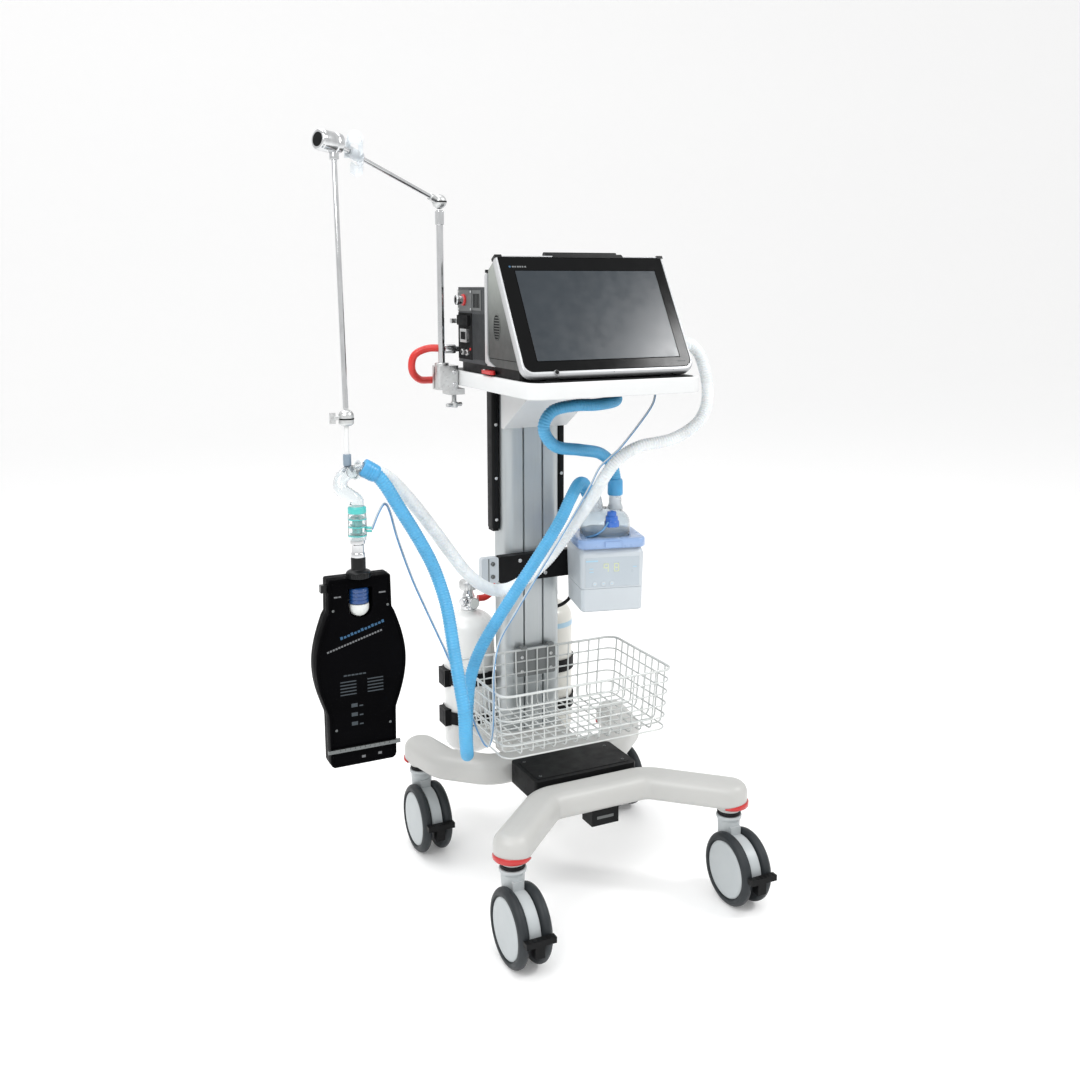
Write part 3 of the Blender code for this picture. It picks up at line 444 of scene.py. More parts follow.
def plastic(name, colour, roughness=0.4, spread=0.03, grain=1800.0, relief=0.12, coat=0.0, specular=0.5):
    """Moulded plastic or paint: slight clouding, uneven gloss and a fine moulded grain."""
    material, shader = shader_of(name, colour, roughness)
    shader.inputs["Specular IOR Level"].default_value = specular
    clouds = noise_field(material, 14.0, 4.0)
    vary_colour(material, shader, clouds, tone(colour, 1 - spread), tone(colour, 1 + spread))
    vary_roughness(material, shader, noise_field(material, 55.0, 3.0), roughness * 0.85, roughness * 1.15)
    add_grain(material, shader, grain, relief)
    if coat:
        shader.inputs["Coat Weight"].default_value = coat
        shader.inputs["Coat Roughness"].default_value = 0.08
    return material


def painted_sheen_plastic(name, foot, top, low, high):
    """Plastic with a painted sheen: its tone rises with height on the object, a painted highlight standing in
    for the soft light reflected along the upper part.
    """
    material = plastic(name, foot, 0.42, 0.05, 1500.0, 0.25)
    nodes = material.node_tree.nodes
    place = nodes.new("ShaderNodeTexCoord")
    split = nodes.new("ShaderNodeSeparateXYZ")
    spread = nodes.new("ShaderNodeMapRange")
    spread.inputs["From Min"].default_value = low
    spread.inputs["From Max"].default_value = high
    spread.interpolation_type = "SMOOTHSTEP"
    mix = nodes.new("ShaderNodeMix")
    mix.data_type = "RGBA"
    shader = nodes["Principled BSDF"]
    links = material.node_tree.links
    tinted = shader.inputs["Base Color"].links[0].from_socket
    links.new(place.outputs["Object"], split.inputs["Vector"])
    links.new(split.outputs["Z"], spread.inputs["Value"])
    links.new(spread.outputs["Result"], mix.inputs["Factor"])
    links.new(tinted, mix.inputs["A"])
    # the lighter top tone is the painted sheen
    mix.inputs["B"].default_value = (*top, 1.0)
    links.new(mix.outputs["Result"], shader.inputs["Base Color"])
    return material


def lacquer(name, colour, roughness, metallic):
    """Silver lacquer: half paint, half metal, with a fine even flake."""
    material, shader = shader_of(name, colour, roughness, metallic)
    flakes = noise_field(material, 900.0, 2.0)
    vary_colour(material, shader, flakes, tone(colour, 0.95), tone(colour, 1.05))
    vary_roughness(material, shader, noise_field(material, 60.0, 3.0), roughness * 0.85, roughness * 1.15)
    add_grain(material, shader, 2600.0, 0.05)
    shader.inputs["Coat Weight"].default_value = 0.2
    shader.inputs["Coat Roughness"].default_value = 0.12
    return material


def metal(name, colour, roughness=0.25, stretch=(1, 1, 1), scale=120.0, relief=0.06):
    """Metal with fine drawing or polishing marks along one axis."""
    material, shader = shader_of(name, colour, roughness, 1.0)
    marks = noise_field(material, scale, 4.0, stretch)
    vary_colour(material, shader, marks, tone(colour, 0.93), tone(colour, 1.05))
    vary_roughness(material, shader, marks, roughness * 0.7, roughness * 1.35)
    add_grain(material, shader, scale * 4, relief, 0.0001, stretch)
    return material


def clear_plastic(name, colour, roughness=0.04, amount=0.96, ior=1.46):
    """Thin clear moulding with slight flow marks."""
    material, shader = shader_of(name, colour, roughness)
    shader.inputs["Transmission Weight"].default_value = amount
    shader.inputs["IOR"].default_value = ior
    vary_roughness(material, shader, noise_field(material, 40.0, 2.0), roughness, roughness * 2.5)
    add_grain(material, shader, 90.0, 0.08, 0.0004)
    return material


def glowing(name, colour, strength):
    material, shader = shader_of(name, colour, 0.35)
    shader.inputs["Emission Color"].default_value = (*colour, 1.0)
    shader.inputs["Emission Strength"].default_value = strength
    add_grain(material, shader, 900.0, 0.05)
    return material


def hose_material(name, colour, glow):
    """Soft corrugated hose: light passes a little way through it."""
    material, shader = shader_of(name, colour, 0.38)
    vary_colour(material, shader, noise_field(material, 30.0, 3.0), tone(colour, 0.93), tone(colour, 1.06))
    vary_roughness(material, shader, noise_field(material, 90.0, 2.0), 0.3, 0.46)
    add_grain(material, shader, 700.0, 0.1)
    shader.inputs["Subsurface Weight"].default_value = glow
    shader.inputs["Subsurface Radius"].default_value = (0.6, 0.8, 1.0)
    shader.inputs["Subsurface Scale"].default_value = 0.006
    return material


def make_materials():
    mats = {
        "base_white": plastic("base_white", (0.46, 0.46, 0.445), 0.38, 0.02, 2400.0, 0.08),
        "white": plastic("white", (0.66, 0.67, 0.67), 0.36, 0.02, 2400.0, 0.06),
        "black": plastic("black", (0.0050, 0.0052, 0.0056), 0.45, 0.10, 1600.0, 0.2, 0.0, 0.13),
        "satin_black": plastic("satin_black", (0.0050, 0.0055, 0.0060), 0.32, 0.08, 1500.0, 0.1, 0.0, 0.25),
        "frame_silver": lacquer("frame_silver", (0.47, 0.48, 0.49), 0.35, 0.35),
        "graphite": plastic("graphite", (0.085, 0.090, 0.090), 0.42, 0.06, 1500.0, 0.3),
        "module_grey": plastic("module_grey", (0.030, 0.033, 0.036), 0.48, 0.08, 1400.0, 0.3, 0.0, 0.35),
        "vent_dark": plastic("vent_dark", (0.004, 0.0045, 0.005), 0.7, 0.1, 900.0, 0.2, 0.0, 0.15),
        "tyre": plastic("tyre", (0.016, 0.020, 0.023), 0.50, 0.10, 700.0, 0.3, 0.0, 0.35),
        "wheel_grey": plastic("wheel_grey", (0.42, 0.45, 0.46), 0.40, 0.02, 1500.0, 0.1),
        "red": plastic("red", (0.46, 0.018, 0.018), 0.32, 0.05, 1500.0, 0.08, 0.2),
        "bottle": plastic("bottle", (0.74, 0.75, 0.74), 0.30, 0.02, 900.0, 0.06, 0.4),
        "bottle_cream": plastic("bottle_cream", (0.66, 0.65, 0.60), 0.34, 0.02, 900.0, 0.06, 0.3),
        "label_blue": plastic("label_blue", (0.36, 0.54, 0.66), 0.4, 0.04),
        "panel_grey": plastic("panel_grey", (0.50, 0.54, 0.57), 0.36, 0.02, 1500.0, 0.08),
        "panel_front": plastic("panel_front", (0.42, 0.47, 0.51), 0.32, 0.02, 1800.0, 0.06, 0.2),
        "lilac": plastic("lilac", (0.25, 0.37, 0.60), 0.30, 0.05, 1200.0, 0.06, 0.3),
        "cap_blue": plastic("cap_blue", (0.025, 0.13, 0.50), 0.25, 0.08, 1200.0, 0.06, 0.3),
        "knob_blue": plastic("knob_blue", (0.012, 0.055, 0.19), 0.28, 0.10, 1200.0, 0.1, 0.3),
        "print_blue": plastic("print_blue", (0.012, 0.075, 0.16), 0.5),
        "print_grey": plastic("print_grey", (0.12, 0.125, 0.13), 0.5),
        "print_dim": plastic("print_dim", (0.022, 0.032, 0.040), 0.5),
        "teal": plastic("teal", (0.06, 0.46, 0.44), 0.25, 0.05, 1200.0, 0.05, 0.4),
        "bulb": plastic("bulb", (0.62, 0.64, 0.62), 0.4, 0.05, 700.0, 0.1),
        "plate_black": plastic("plate_black", (0.0014, 0.0014, 0.0018), 0.5, 0.2, 1400.0, 0.1, 0.0, 0.02),
        "wire_white": plastic("wire_white", (0.54, 0.56, 0.55), 0.34, 0.03, 700.0, 0.1, 0.3),
        "screen": plastic("screen", (0.018, 0.025, 0.032), 0.22, 0.05, 3500.0, 0.01, 0.0, 0.42),
        "bezel": plastic("bezel", (0.0030, 0.0032, 0.0035), 0.13, 0.08, 3500.0, 0.01, 0.0, 0.12),
        "digits": glowing("digits", (0.60, 0.64, 0.36), 0.06),
        "aluminium": metal("aluminium", (0.50, 0.53, 0.54), 0.46, (60, 60, 0.6), 20.0, 0.05),
        "chrome": metal("chrome", (0.62, 0.63, 0.64), 0.12, (1, 1, 0.2), 160.0, 0.03),
        "cast_silver": metal("cast_silver", (0.60, 0.61, 0.61), 0.36, (1, 1, 1), 240.0, 0.15),
        "dark_steel": metal("dark_steel", (0.16, 0.17, 0.17), 0.35, (1, 1, 1), 200.0, 0.1),
        "clear": clear_plastic("clear", (0.93, 0.96, 0.97)),
        "clear_smoke": clear_plastic("clear_smoke", (0.80, 0.86, 0.90), 0.06),
        "water": clear_plastic("water", (0.90, 0.96, 0.99), 0.01, 1.0, 1.33),
        "hose_blue": hose_material("hose_blue", (0.075, 0.35, 0.60), 0.20),
        "hose_white": hose_material("hose_white", (0.74, 0.77, 0.78), 0.25),
        "hose_red": hose_material("hose_red", (0.55, 0.022, 0.016), 0.1),
        "line_blue": hose_material("line_blue", (0.10, 0.27, 0.50), 0.2),
        "line_grey": hose_material("line_grey", (0.45, 0.50, 0.53), 0.2),
        "rubber": plastic("rubber", (0.006, 0.006, 0.007), 0.6, 0.1, 900.0, 0.2, 0.0, 0.2),
        "clear_milky": clear_plastic("clear_milky", (0.90, 0.94, 0.97), 0.18, 0.75),
        "print_steel": plastic("print_steel", (0.20, 0.26, 0.32), 0.35, 0.05),
        "hose_cuff": hose_material("hose_cuff", (0.74, 0.77, 0.78), 0.2),
        "blue_cuff": hose_material("blue_cuff", (0.060, 0.31, 0.57), 0.2),
        # housing: dark plastic with a painted sheen that lightens it towards the top
        "housing": painted_sheen_plastic("housing", (0.030, 0.033, 0.031), (0.28, 0.30, 0.28), 0.955, 1.10),
        "plate_grey": plastic("plate_grey", (0.16, 0.17, 0.17), 0.42, 0.05, 1500.0, 0.2),
    }
    return mats


# ---------------------------------------------------------------- camera, light and floor

def add_camera():
    data = bpy.data.cameras.new("camera")
    data.lens = 38.854
    data.shift_x = -0.0198
    data.shift_y = -0.0822
    data.clip_end = 60.0
    camera = bpy.data.objects.new("camera", data)
    camera.location = (-0.7955, -1.7848, 1.0670)
    camera.rotation_euler = (radians(81.5195), 0.0, radians(-26.717))
    bpy.context.scene.collection.objects.link(camera)
    bpy.context.scene.camera = camera


def area_light(name, place, target, size, power, colour=(1, 1, 1)):
    data = bpy.data.lights.new(name, "AREA")
    data.shape = "RECTANGLE"
    data.size, data.size_y = size
    data.energy = power
    data.color = colour
    lamp = bpy.data.objects.new(name, data)
    lamp.location = place
    lamp.rotation_euler = (Vector(target) - Vector(place)).to_track_quat("-Z", "Y").to_euler()
    bpy.context.scene.collection.objects.link(lamp)


def add_light():
    world = bpy.data.worlds.new("studio")
    world.use_nodes = True
    world.node_tree.nodes["Background"].inputs["Color"].default_value = (1.0, 1.0, 1.0, 1.0)
    world.node_tree.nodes["Background"].inputs["Strength"].default_value = 0.85
    bpy.context.scene.world = world
    bpy.context.scene.view_settings.view_transform = "Standard"
    area_light("key", (-1.9, -1.6, 2.6), (0.0, 0.0, 0.6), (1.6, 1.6), 47.0)
    area_light("top", (-0.5, 0.6, 3.0), (0.0, 0.0, 0.4), (2.0, 2.0), 30.0)
    area_light("screen_card", (2.20, -1.66, 3.0), (0.35, -0.14, 0.95), (0.5, 0.8), 42.0)


def add_floor():
    """Pale floor that curves up into a backdrop far behind."""
    profile = [(-9.0, 0.0), (6.0, 0.0)]
    profile += [(6.0 + 3.0 * sin(radians(a)), 3.0 - 3.0 * cos(radians(a))) for a in range(9, 91, 9)]
    profile.append((9.0, 12.0))
    shape = bmesh.new()
    sides = [[shape.verts.new((x, y, z - 0.0002)) for y, z in profile] for x in (-14.0, 14.0)]
    for i in range(len(profile) - 1):
        shape.faces.new((sides[0][i], sides[1][i], sides[1][i + 1], sides[0][i + 1]))
    material, shader = shader_of("floor", (0.93, 0.93, 0.93), 0.7)
    shader.inputs["Emission Color"].default_value = (1.0, 1.0, 1.0, 1.0)
    shader.inputs["Emission Strength"].default_value = 0.10
    vary_roughness(material, shader, noise_field(material, 3.0), 0.6, 0.8)
    piece("floor", shape, material, body=None)


# ---------------------------------------------------------------- hoses and lines

BLUE_FEED_ROUTE = [
    (0.095, MODULE_BACK + 0.014, 0.965), (0.095, 0.172, 0.960), (0.096, 0.213, 0.935), (0.102, 0.217, 0.885),
    (0.112, 0.192, 0.858), (0.122, 0.140, 0.857), (0.124, 0.070, 0.857), (0.098, 0.010, 0.851),
    (0.050, -0.009, 0.848), (0.004, -0.013, 0.849), (-0.036, -0.008, 0.840), (-0.050, -0.004, 0.810),
    (-0.024, 0.004, 0.778), (0.034, 0.024, 0.765), (0.088, 0.048, 0.752), (0.1150, 0.0540, 0.730),
    (0.1234, 0.0535, 0.702), (0.1234, 0.0535, 0.6762),
]
BLUE_PATIENT_ROUTE = [
    (0.0606, 0.0362, 0.6792), (0.0520, 0.0300, 0.6910), (0.0400, 0.0200, 0.7050), (0.0210, 0.0045, 0.7065),
    (-0.0030, -0.0120, 0.6850), (-0.0260, -0.0200, 0.6520), (-0.0640, -0.0240, 0.6020),
    (-0.1040, -0.0200, 0.5460), (-0.1430, -0.0140, 0.4890), (-0.1720, -0.0060, 0.4380),
    (-0.1900, -0.0040, 0.3900), (-0.2010, -0.0150, 0.3400), (-0.2090, -0.0300, 0.3020),
    (-0.2190, -0.0560, 0.2810), (-0.2310, -0.0850, 0.2920), (-0.2400, -0.1020, 0.3270),
    (-0.2430, -0.1050, 0.3720), (-0.2460, -0.0970, 0.4100), (-0.2490, -0.0820, 0.4620),
    (-0.2500, -0.0620, 0.5150), (-0.2540, -0.0520, 0.5500), (-0.2680, -0.0440, 0.5990),
    (-0.2930, -0.0480, 0.6480), (-0.3280, -0.0520, 0.7070), (-0.3500, -0.0540, 0.7440),
    (-0.3660, -0.0530, 0.7640), (-0.3790, -0.0510, 0.7720),
]
WHITE_ROUTE = [
    (0.1970, -0.0580, 0.9520), (0.2090, -0.0580, 0.9510), (0.2220, -0.0610, 0.9390),
    (0.2300, -0.0660, 0.9200), (0.2360, -0.0740, 0.8800), (0.2300, -0.0800, 0.8420),
    (0.2060, -0.0840, 0.8120), (0.1600, -0.0800, 0.7890), (0.1050, -0.0680, 0.7790),
    (0.0720, -0.0560, 0.7600), (0.0520, -0.0420, 0.7300), (0.0400, -0.0130, 0.6840),
    (0.0290, 0.0200, 0.6400), (0.0060, 0.0340, 0.6020), (-0.0260, 0.0440, 0.5620),
    (-0.0700, 0.0460, 0.5320), (-0.1110, 0.0400, 0.5230), (-0.1480, 0.0300, 0.5360),
    (-0.1860, 0.0180, 0.5680), (-0.2180, 0.0080, 0.6080), (-0.2480, -0.0020, 0.6480),
    (-0.2860, -0.0100, 0.6980), (-0.3260, -0.0140, 0.7440), (-0.3560, -0.0190, 0.7640),
    (-0.3790, -0.0250, 0.7690),
]
RED_ROUTE = [
    (-0.1700, 0.1340, 0.9430), (-0.2000, 0.1480, 0.9440), (-0.2240, 0.1560, 0.9320),
    (-0.2260, 0.1640, 0.9060), (-0.2080, 0.1780, 0.8880), (-0.1800, 0.1960, 0.8840),
    (-0.1500, 0.2070, 0.8840), (-0.1100, 0.2130, 0.8800), (-0.0600, 0.2280, 0.8660),
    (-0.0220, 0.2450, 0.8360), (-0.0060, 0.2560, 0.7800), (-0.0040, 0.2580, 0.7000),
    (-0.0060, 0.2590, 0.6000), (-0.0120, 0.2600, 0.5200), (-0.0260, 0.2605, 0.4720),
    (-0.0460, 0.2610, 0.4495), (-0.0655, 0.2612, 0.4470),
]
SENSOR_ROUTE = [
    (-0.3790, -0.0700, 0.6800), (-0.3658, -0.0640, 0.7040), (-0.3504, -0.0480, 0.7140),
    (-0.3336, -0.0230, 0.6950), (-0.3156, -0.0065, 0.6440), (-0.2864, 0.0120, 0.5720),
    (-0.2600, 0.0226, 0.5145), (-0.2247, 0.0260, 0.4350), (-0.1980, 0.0220, 0.3680),
    (-0.1860, 0.0080, 0.3240), (-0.1790, -0.0120, 0.2900), (-0.1745, -0.0378, 0.2742),
    (-0.1740, -0.0564, 0.3021), (-0.1730, -0.0618, 0.3570), (-0.1690, -0.0546, 0.4124),
    (-0.1520, -0.0420, 0.4596), (-0.1251, -0.0500, 0.5090), (-0.0899, -0.0550, 0.5649),
    (-0.0521, -0.0550, 0.6180), (-0.0114, -0.0520, 0.6740), (0.0129, -0.0570, 0.7161),
    (0.0231, -0.0690, 0.7467), (0.0369, -0.0790, 0.7644), (0.0544, -0.0880, 0.7834),
    (0.0888, -0.0940, 0.8245), (0.1121, -0.0940, 0.8540), (0.1222, -0.0880, 0.8772),
]
CABLE_ROUTE = [
    (0.0980, 0.1230, 0.4850), (0.1000, 0.1340, 0.4790), (0.0980, 0.1480, 0.4700), (0.0900, 0.1620, 0.4590),
    (0.0860, 0.1720, 0.4470), (0.0760, 0.1760, 0.4390), (0.0620, 0.1780, 0.4350),
]
ARM_CHAIN = ("trolley", "arm_post", "upper_rod", "drop_rod", "hanger")
JOINT_STRETCH = 0.138
HOSE_PITCH = 0.0046
RIB_DEPTH = 0.0011


def split_route(points, step):
    """Ring numbers that cut one stretch for each joint of the arm from the line's far end."""
    rings = round(JOINT_STRETCH / (points[1] - points[0]).length)
    last = len(points) - 1
    joints = len(ARM_CHAIN) - 1
    starts = [last - rings * (joints - i) for i in range(joints)]
    return [0] + [start - start % step for start in starts] + [last]


def lay_line(name, points, build, node, to_patient=False, step=1):
    """Build a line in place of the model's own, which is hidden. One that goes to the patient has a section
    for each joint it crosses.
    """
    numbers = split_route(points, step) if to_patient else [0, len(points) - 1]
    for i, (first, last) in enumerate(zip(numbers, numbers[1:])):
        stretch = points[first:last + 1]
        made = build(f"{name}_{i + 1}" if to_patient else name, stretch, first)
        if i == 0:
            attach(made, "trolley")
        else:
            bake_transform(made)
        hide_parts(node)


def ribbed_hose(name, route, material, node, to_patient):
    """Corrugated breathing hose: four rings for each rib."""
    steps = 4
    points = smooth_route(route, HOSE_PITCH / steps)
    depths = (0.0, RIB_DEPTH * 0.55, RIB_DEPTH, RIB_DEPTH * 0.55)

    def build(title, stretch, first):
        radii = [HOSE_RADIUS - depths[(first + i) % steps] for i in range(len(stretch))]
        return piece(title, sweep(stretch, radii, 18, False), material, body=None, smooth=80)

    lay_line(name, points, build, node, to_patient, steps)


def twin_line(name, route, mats, node):
    """Two thin tubes side by side, moulded together."""
    points = smooth_route(route, 0.004)
    side = SENSOR_RADIUS * 0.5

    def build(title, stretch, first):
        tubes = []
        for sign, index in ((-1, 0), (1, 1)):
            line = []
            for i, point in enumerate(stretch):
                ahead = points[min(first + i + 1, len(points) - 1)] - points[max(first + i - 1, 0)]
                across = ahead.cross(Vector((0.3, -1.0, 0.1))).normalized()
                line.append(point + across * side * sign)
            tubes.append((sweep(line, SENSOR_RADIUS * 0.52, 8), index))
        return piece(title, merged(*tubes), [mats["line_blue"], mats["line_grey"]], body=None)

    lay_line(name, points, build, node, True)


def plain_line(name, route, radius, material, node, spacing):
    points = smooth_route(route, spacing)

    def build(title, stretch, first):
        return piece(title, sweep(stretch, radius, 16), material, body=None)

    lay_line(name, points, build, node)


def build_hoses(mats):
    ribbed_hose("blue_feed", BLUE_FEED_ROUTE, mats["hose_blue"], "blue_feed_hose", False)
    ribbed_hose("blue_patient", BLUE_PATIENT_ROUTE, mats["hose_blue"], "blue_patient_hose", True)
    ribbed_hose("white_return", WHITE_ROUTE, mats["hose_white"], "white_hose", True)
    plain_line("gas_hose", RED_ROUTE, GAS_HOSE_RADIUS, mats["hose_red"], "gas_supply_hose", 0.004)
    twin_line("sensor_lines", list(reversed(SENSOR_ROUTE)), mats, "sensor_line")
    plain_line("power_lead", CABLE_ROUTE, CABLE_RADIUS, mats["rubber"], "humidifier_cable", 0.003)


# ---------------------------------------------------------------- base and casters

FRONT_PATH = [(-TRACK_X, -TRACK_Y), (-0.098, FRONT_BEAM_Y), (0.098, FRONT_BEAM_Y), (TRACK_X, -TRACK_Y)]
REAR_PATH = [(-TRACK_X, TRACK_Y), (-0.190, 0.128), (-0.125, REAR_BEAM_Y), (0.125, REAR_BEAM_Y),
             (0.190, 0.128), (TRACK_X, TRACK_Y)]
CORNERS = {"front_left": (-TRACK_X, -TRACK_Y), "front_right": (TRACK_X, -TRACK_Y),
           "rear_left": (-TRACK_X, TRACK_Y), "rear_right": (TRACK_X, TRACK_Y)}
LEG_LIP = 0.0085


def beam(path):
    """A bar with a full round on top and a smaller one below, along a plan path."""
    levels = []
    for angle in range(0, 91, 15):
        turn = radians(angle)
        levels.append((0.010 * (1 - sin(turn)), BEAM_BOTTOM + 0.010 * (1 - cos(turn))))
    for angle in range(0, 91, 10):
        turn = radians(angle)
        levels.append((BEAM_ROUND * (1 - cos(turn)), BEAM_TOP - BEAM_ROUND * (1 - sin(turn))))
    levels.append((BEAM_HALF * 0.90, BEAM_TOP + 0.0003))
    return loft([[Vector((point.x, point.y, height)) for point in strip_outline(path, BEAM_HALF - inset)]
                 for inset, height in levels])


def leg_socket(x, y):
    """Boss under the end of a leg, with the dark seal of the swivel bearing."""
    boss = lathe(fillet([(0.004, 0.1545), (0.0205, 0.1545), (0.0225, 0.160), (0.0290, 0.1645),
                         (0.0290, 0.172)], 0.002), 40, "Z", (x, y, 0))
    seal = lathe(fillet([(0.004, NECK_TOP + 0.0005), (0.0205, NECK_TOP + 0.0005), (0.0205, 0.1546),
                         (0.004, 0.1546)], 0.0015), 40, "Z", (x, y, 0))
    return [(boss, 0), (seal, 1)]


def bumper(x, y, inward):
    """Red guard around the lower edge of a leg's end: thick in the middle and thin at its two ends."""
    heading = (Vector((x, y)) - Vector(inward)).normalized()
    rings = []
    for step in range(-10, 11):
        angle = radians(step * 9.3)
        out = Matrix.Rotation(angle, 2) @ heading
        swell = cos(angle) ** 0.6 if abs(step) < 10 else 0.12
        low = 0.1632 + 0.0010 * (1 - swell)
        high = low + 0.0016 + LEG_LIP * swell
        inner = BEAM_HALF - 0.004
        outer = BEAM_HALF + 0.0002 + 0.0022 * swell
        section = [(inner, low), (outer - 0.0012, low), (outer, low + 0.0014), (outer, high - 0.0016),
                   (outer - 0.0012, high), (inner, high)]
        rings.append([Vector((x + out.x * r, y + out.y * r, z)) for r, z in section])
    return loft(rings)


def caster_fork(x, y):
    """Neck and the fender between the wheels, joined by a saddle block."""
    axle_y = y - TRAIL
    half = WHEEL_SPACE / 2 - 0.0012
    fender = [(axle_y + FENDER_RADIUS * cos(radians(a)), WHEEL_RADIUS + FENDER_RADIUS * sin(radians(a)))
              for a in range(-8, 189, 7)]
    fender += [(axle_y - 0.016, WHEEL_RADIUS - 0.018), (axle_y + 0.016, WHEEL_RADIUS - 0.018)]
    shell = prism(fender, x - half, x + half, "X", 0.0022, 3)
    neck = fillet([(0.004, 0.1120), (0.0180, 0.1120), (0.0196, 0.1380), (0.0222, 0.1420), (0.0222, NECK_TOP),
                   (0.004, NECK_TOP)], 0.0018)
    saddle = soft_block((x - half, y - 0.022, 0.092), (x + half, y + 0.0185, 0.130), 0.003, 3)
    return merged(shell, lathe(neck, 40, "Z", (x, y, 0)), saddle)


def wheel(x, sign, axle_y):
    """One wheel: soft tyre, a light dished cover outside and a dark ribbed disc inside."""
    inner = x + sign * WHEEL_SPACE / 2
    outer = x + sign * (WHEEL_SPACE / 2 + WHEEL_WIDTH)
    centre = (0, axle_y, WHEEL_RADIUS)
    tyre = fillet([(0.0500, outer - sign * 0.0030), (0.0512, outer), (0.0575, outer - sign * 0.0006),
                   (WHEEL_RADIUS, outer - sign * 0.0062), (WHEEL_RADIUS, inner + sign * 0.0050),
                   (0.0580, inner + sign * 0.0004), (0.0470, inner)], 0.0028)
    cover = fillet([(0.0006, outer + sign * 0.0004), (0.0300, outer + sign * 0.0002),
                    (0.0450, outer - sign * 0.0008), (0.0488, outer - sign * 0.0024),
                    (0.0492, outer - sign * 0.0060)], 0.002)
    disc = fillet([(0.0502, outer - sign * 0.0060), (0.0502, inner + sign * 0.0020),
                   (0.0440, inner + sign * 0.0020), (0.0400, inner + sign * 0.0050),
                   (0.0200, inner + sign * 0.0050), (0.0160, inner + sign * 0.0006),
                   (0.0066, inner + sign * 0.0006)], 0.001)
    parts = [(lathe(tyre, 64, "X", centre), 0), (lathe(cover, 64, "X", centre), 1),
             (lathe(disc, 64, "X", centre), 2)]
    for i in range(10):
        rib = soft_block((min(inner + sign * 0.0012, inner + sign * 0.0056), -0.0012, 0.017),
                         (max(inner + sign * 0.0012, inner + sign * 0.0056), 0.0012, 0.042), 0.0)
        rib.transform(Matrix.Translation(Vector(centre)) @ Matrix.Rotation(2 * pi * i / 10, 4, "X"))
        parts.append((rib, 2))
    return parts


def brake_pedal(x, y):
    """T-shaped lever: a ribbed tread on a stem in front of the fender."""
    tip = y - TRAIL - WHEEL_RADIUS
    tread = soft_block((x - 0.0255, tip - 0.0135, 0.0668), (x + 0.0255, tip - 0.0016, 0.0765), 0.0028, 3)
    stem = soft_block((x - 0.0080, tip - 0.0080, 0.0440), (x + 0.0080, tip + 0.0070, 0.0700), 0.0024, 3)
    ribs = [soft_block((x - 0.020 + i * 0.008, tip - 0.0125, 0.0762),
                       (x - 0.0185 + i * 0.008, tip - 0.0030, 0.0772), 0.0003, 1) for i in range(6)]
    return merged(tread, stem, *ribs)


def build_base(mats):
    for name, path in (("front", FRONT_PATH), ("rear", REAR_PATH)):
        sockets = [part for corner in ("left", "right") for part in leg_socket(*CORNERS[f"{name}_{corner}"])]
        bar = [(beam(bend_path(path, 0.05)), 0)]
        if name == "rear":
            bar.append((prism(rectangle(-0.0615, 0.0615, 0.050, 0.2075, 0.022, 8), BEAM_BOTTOM + 0.004,
                              BEAM_TOP, "Z", 0.004, 4), 0))
        piece(name + "_bar", merged(*bar, *sockets), [mats["base_white"], mats["rubber"]],
              replaces=[name + "_beam"], smooth=60)
    inward = {"front_left": FRONT_PATH[1], "front_right": FRONT_PATH[2], "rear_left": REAR_PATH[1],
              "rear_right": REAR_PATH[4]}
    for corner, (x, y) in CORNERS.items():
        piece("bumper_" + corner, bumper(x, y, inward[corner]), mats["red"], smooth=50)
        fork = "caster_" + corner
        piece("fork_" + corner, caster_fork(x, y), mats["wheel_grey"], fork, ["caster_fork_" + corner], 50)
        axle_y = y - TRAIL
        axle = lathe(fillet([(0.001, x - WHEEL_SPACE / 2 - 0.002), (0.0058, x - WHEEL_SPACE / 2 - 0.002),
                             (0.0058, x + WHEEL_SPACE / 2 + 0.002), (0.001, x + WHEEL_SPACE / 2 + 0.002)],
                            0.001), 24, "X", (0, axle_y, WHEEL_RADIUS))
        piece("wheel_pair_" + corner, merged(*wheel(x, -1, axle_y), *wheel(x, 1, axle_y), (axle, 2)),
              [mats["tyre"], mats["wheel_grey"], mats["rubber"]], "wheels_" + corner, ["wheels_" + corner],
              35)
        piece("pedal_" + corner, brake_pedal(x, y), mats["black"], "pedal_" + corner,
              ["brake_pedal_" + corner], 50)
    build_base_cover(mats)


def build_base_cover(mats):
    """Flat black lid between the bars, with its screws, and the block under the front bar."""
    front = FRONT_BEAM_Y + BEAM_HALF + 0.0004
    back = REAR_BEAM_Y - BEAM_HALF - 0.0004
    lid = prism(rectangle(-0.100, 0.100, front, back, 0.008), 0.170, 0.2085, "Z", 0.0025, 3)
    lip = prism(rectangle(-0.092, 0.092, front + 0.010, back - 0.010, 0.006), 0.2080, 0.2092, "Z", 0.0005)
    screws = [(socket_screw((x, y, 0.2090), (0, 0, 1), 0.0028, 0.0012), 1)
              for x in (-0.082, 0.082) for y in (front + 0.020, back - 0.020)]
    piece("lid", merged(lid, lip, *screws), [mats["black"], mats["dark_steel"]], replaces=["base_cover"])
    block = soft_block((-0.022, -0.132, 0.1365), (0.030, -0.096, 0.1650), 0.0022, 3)
    mark = soft_block((-0.012, -0.1323, 0.1480), (0.020, -0.1319, 0.1530), 0.0)
    piece("weight_block", merged((block, 0), (mark, 1)), [mats["black"], mats["graphite"]])


# ---------------------------------------------------------------- column and what hangs on it

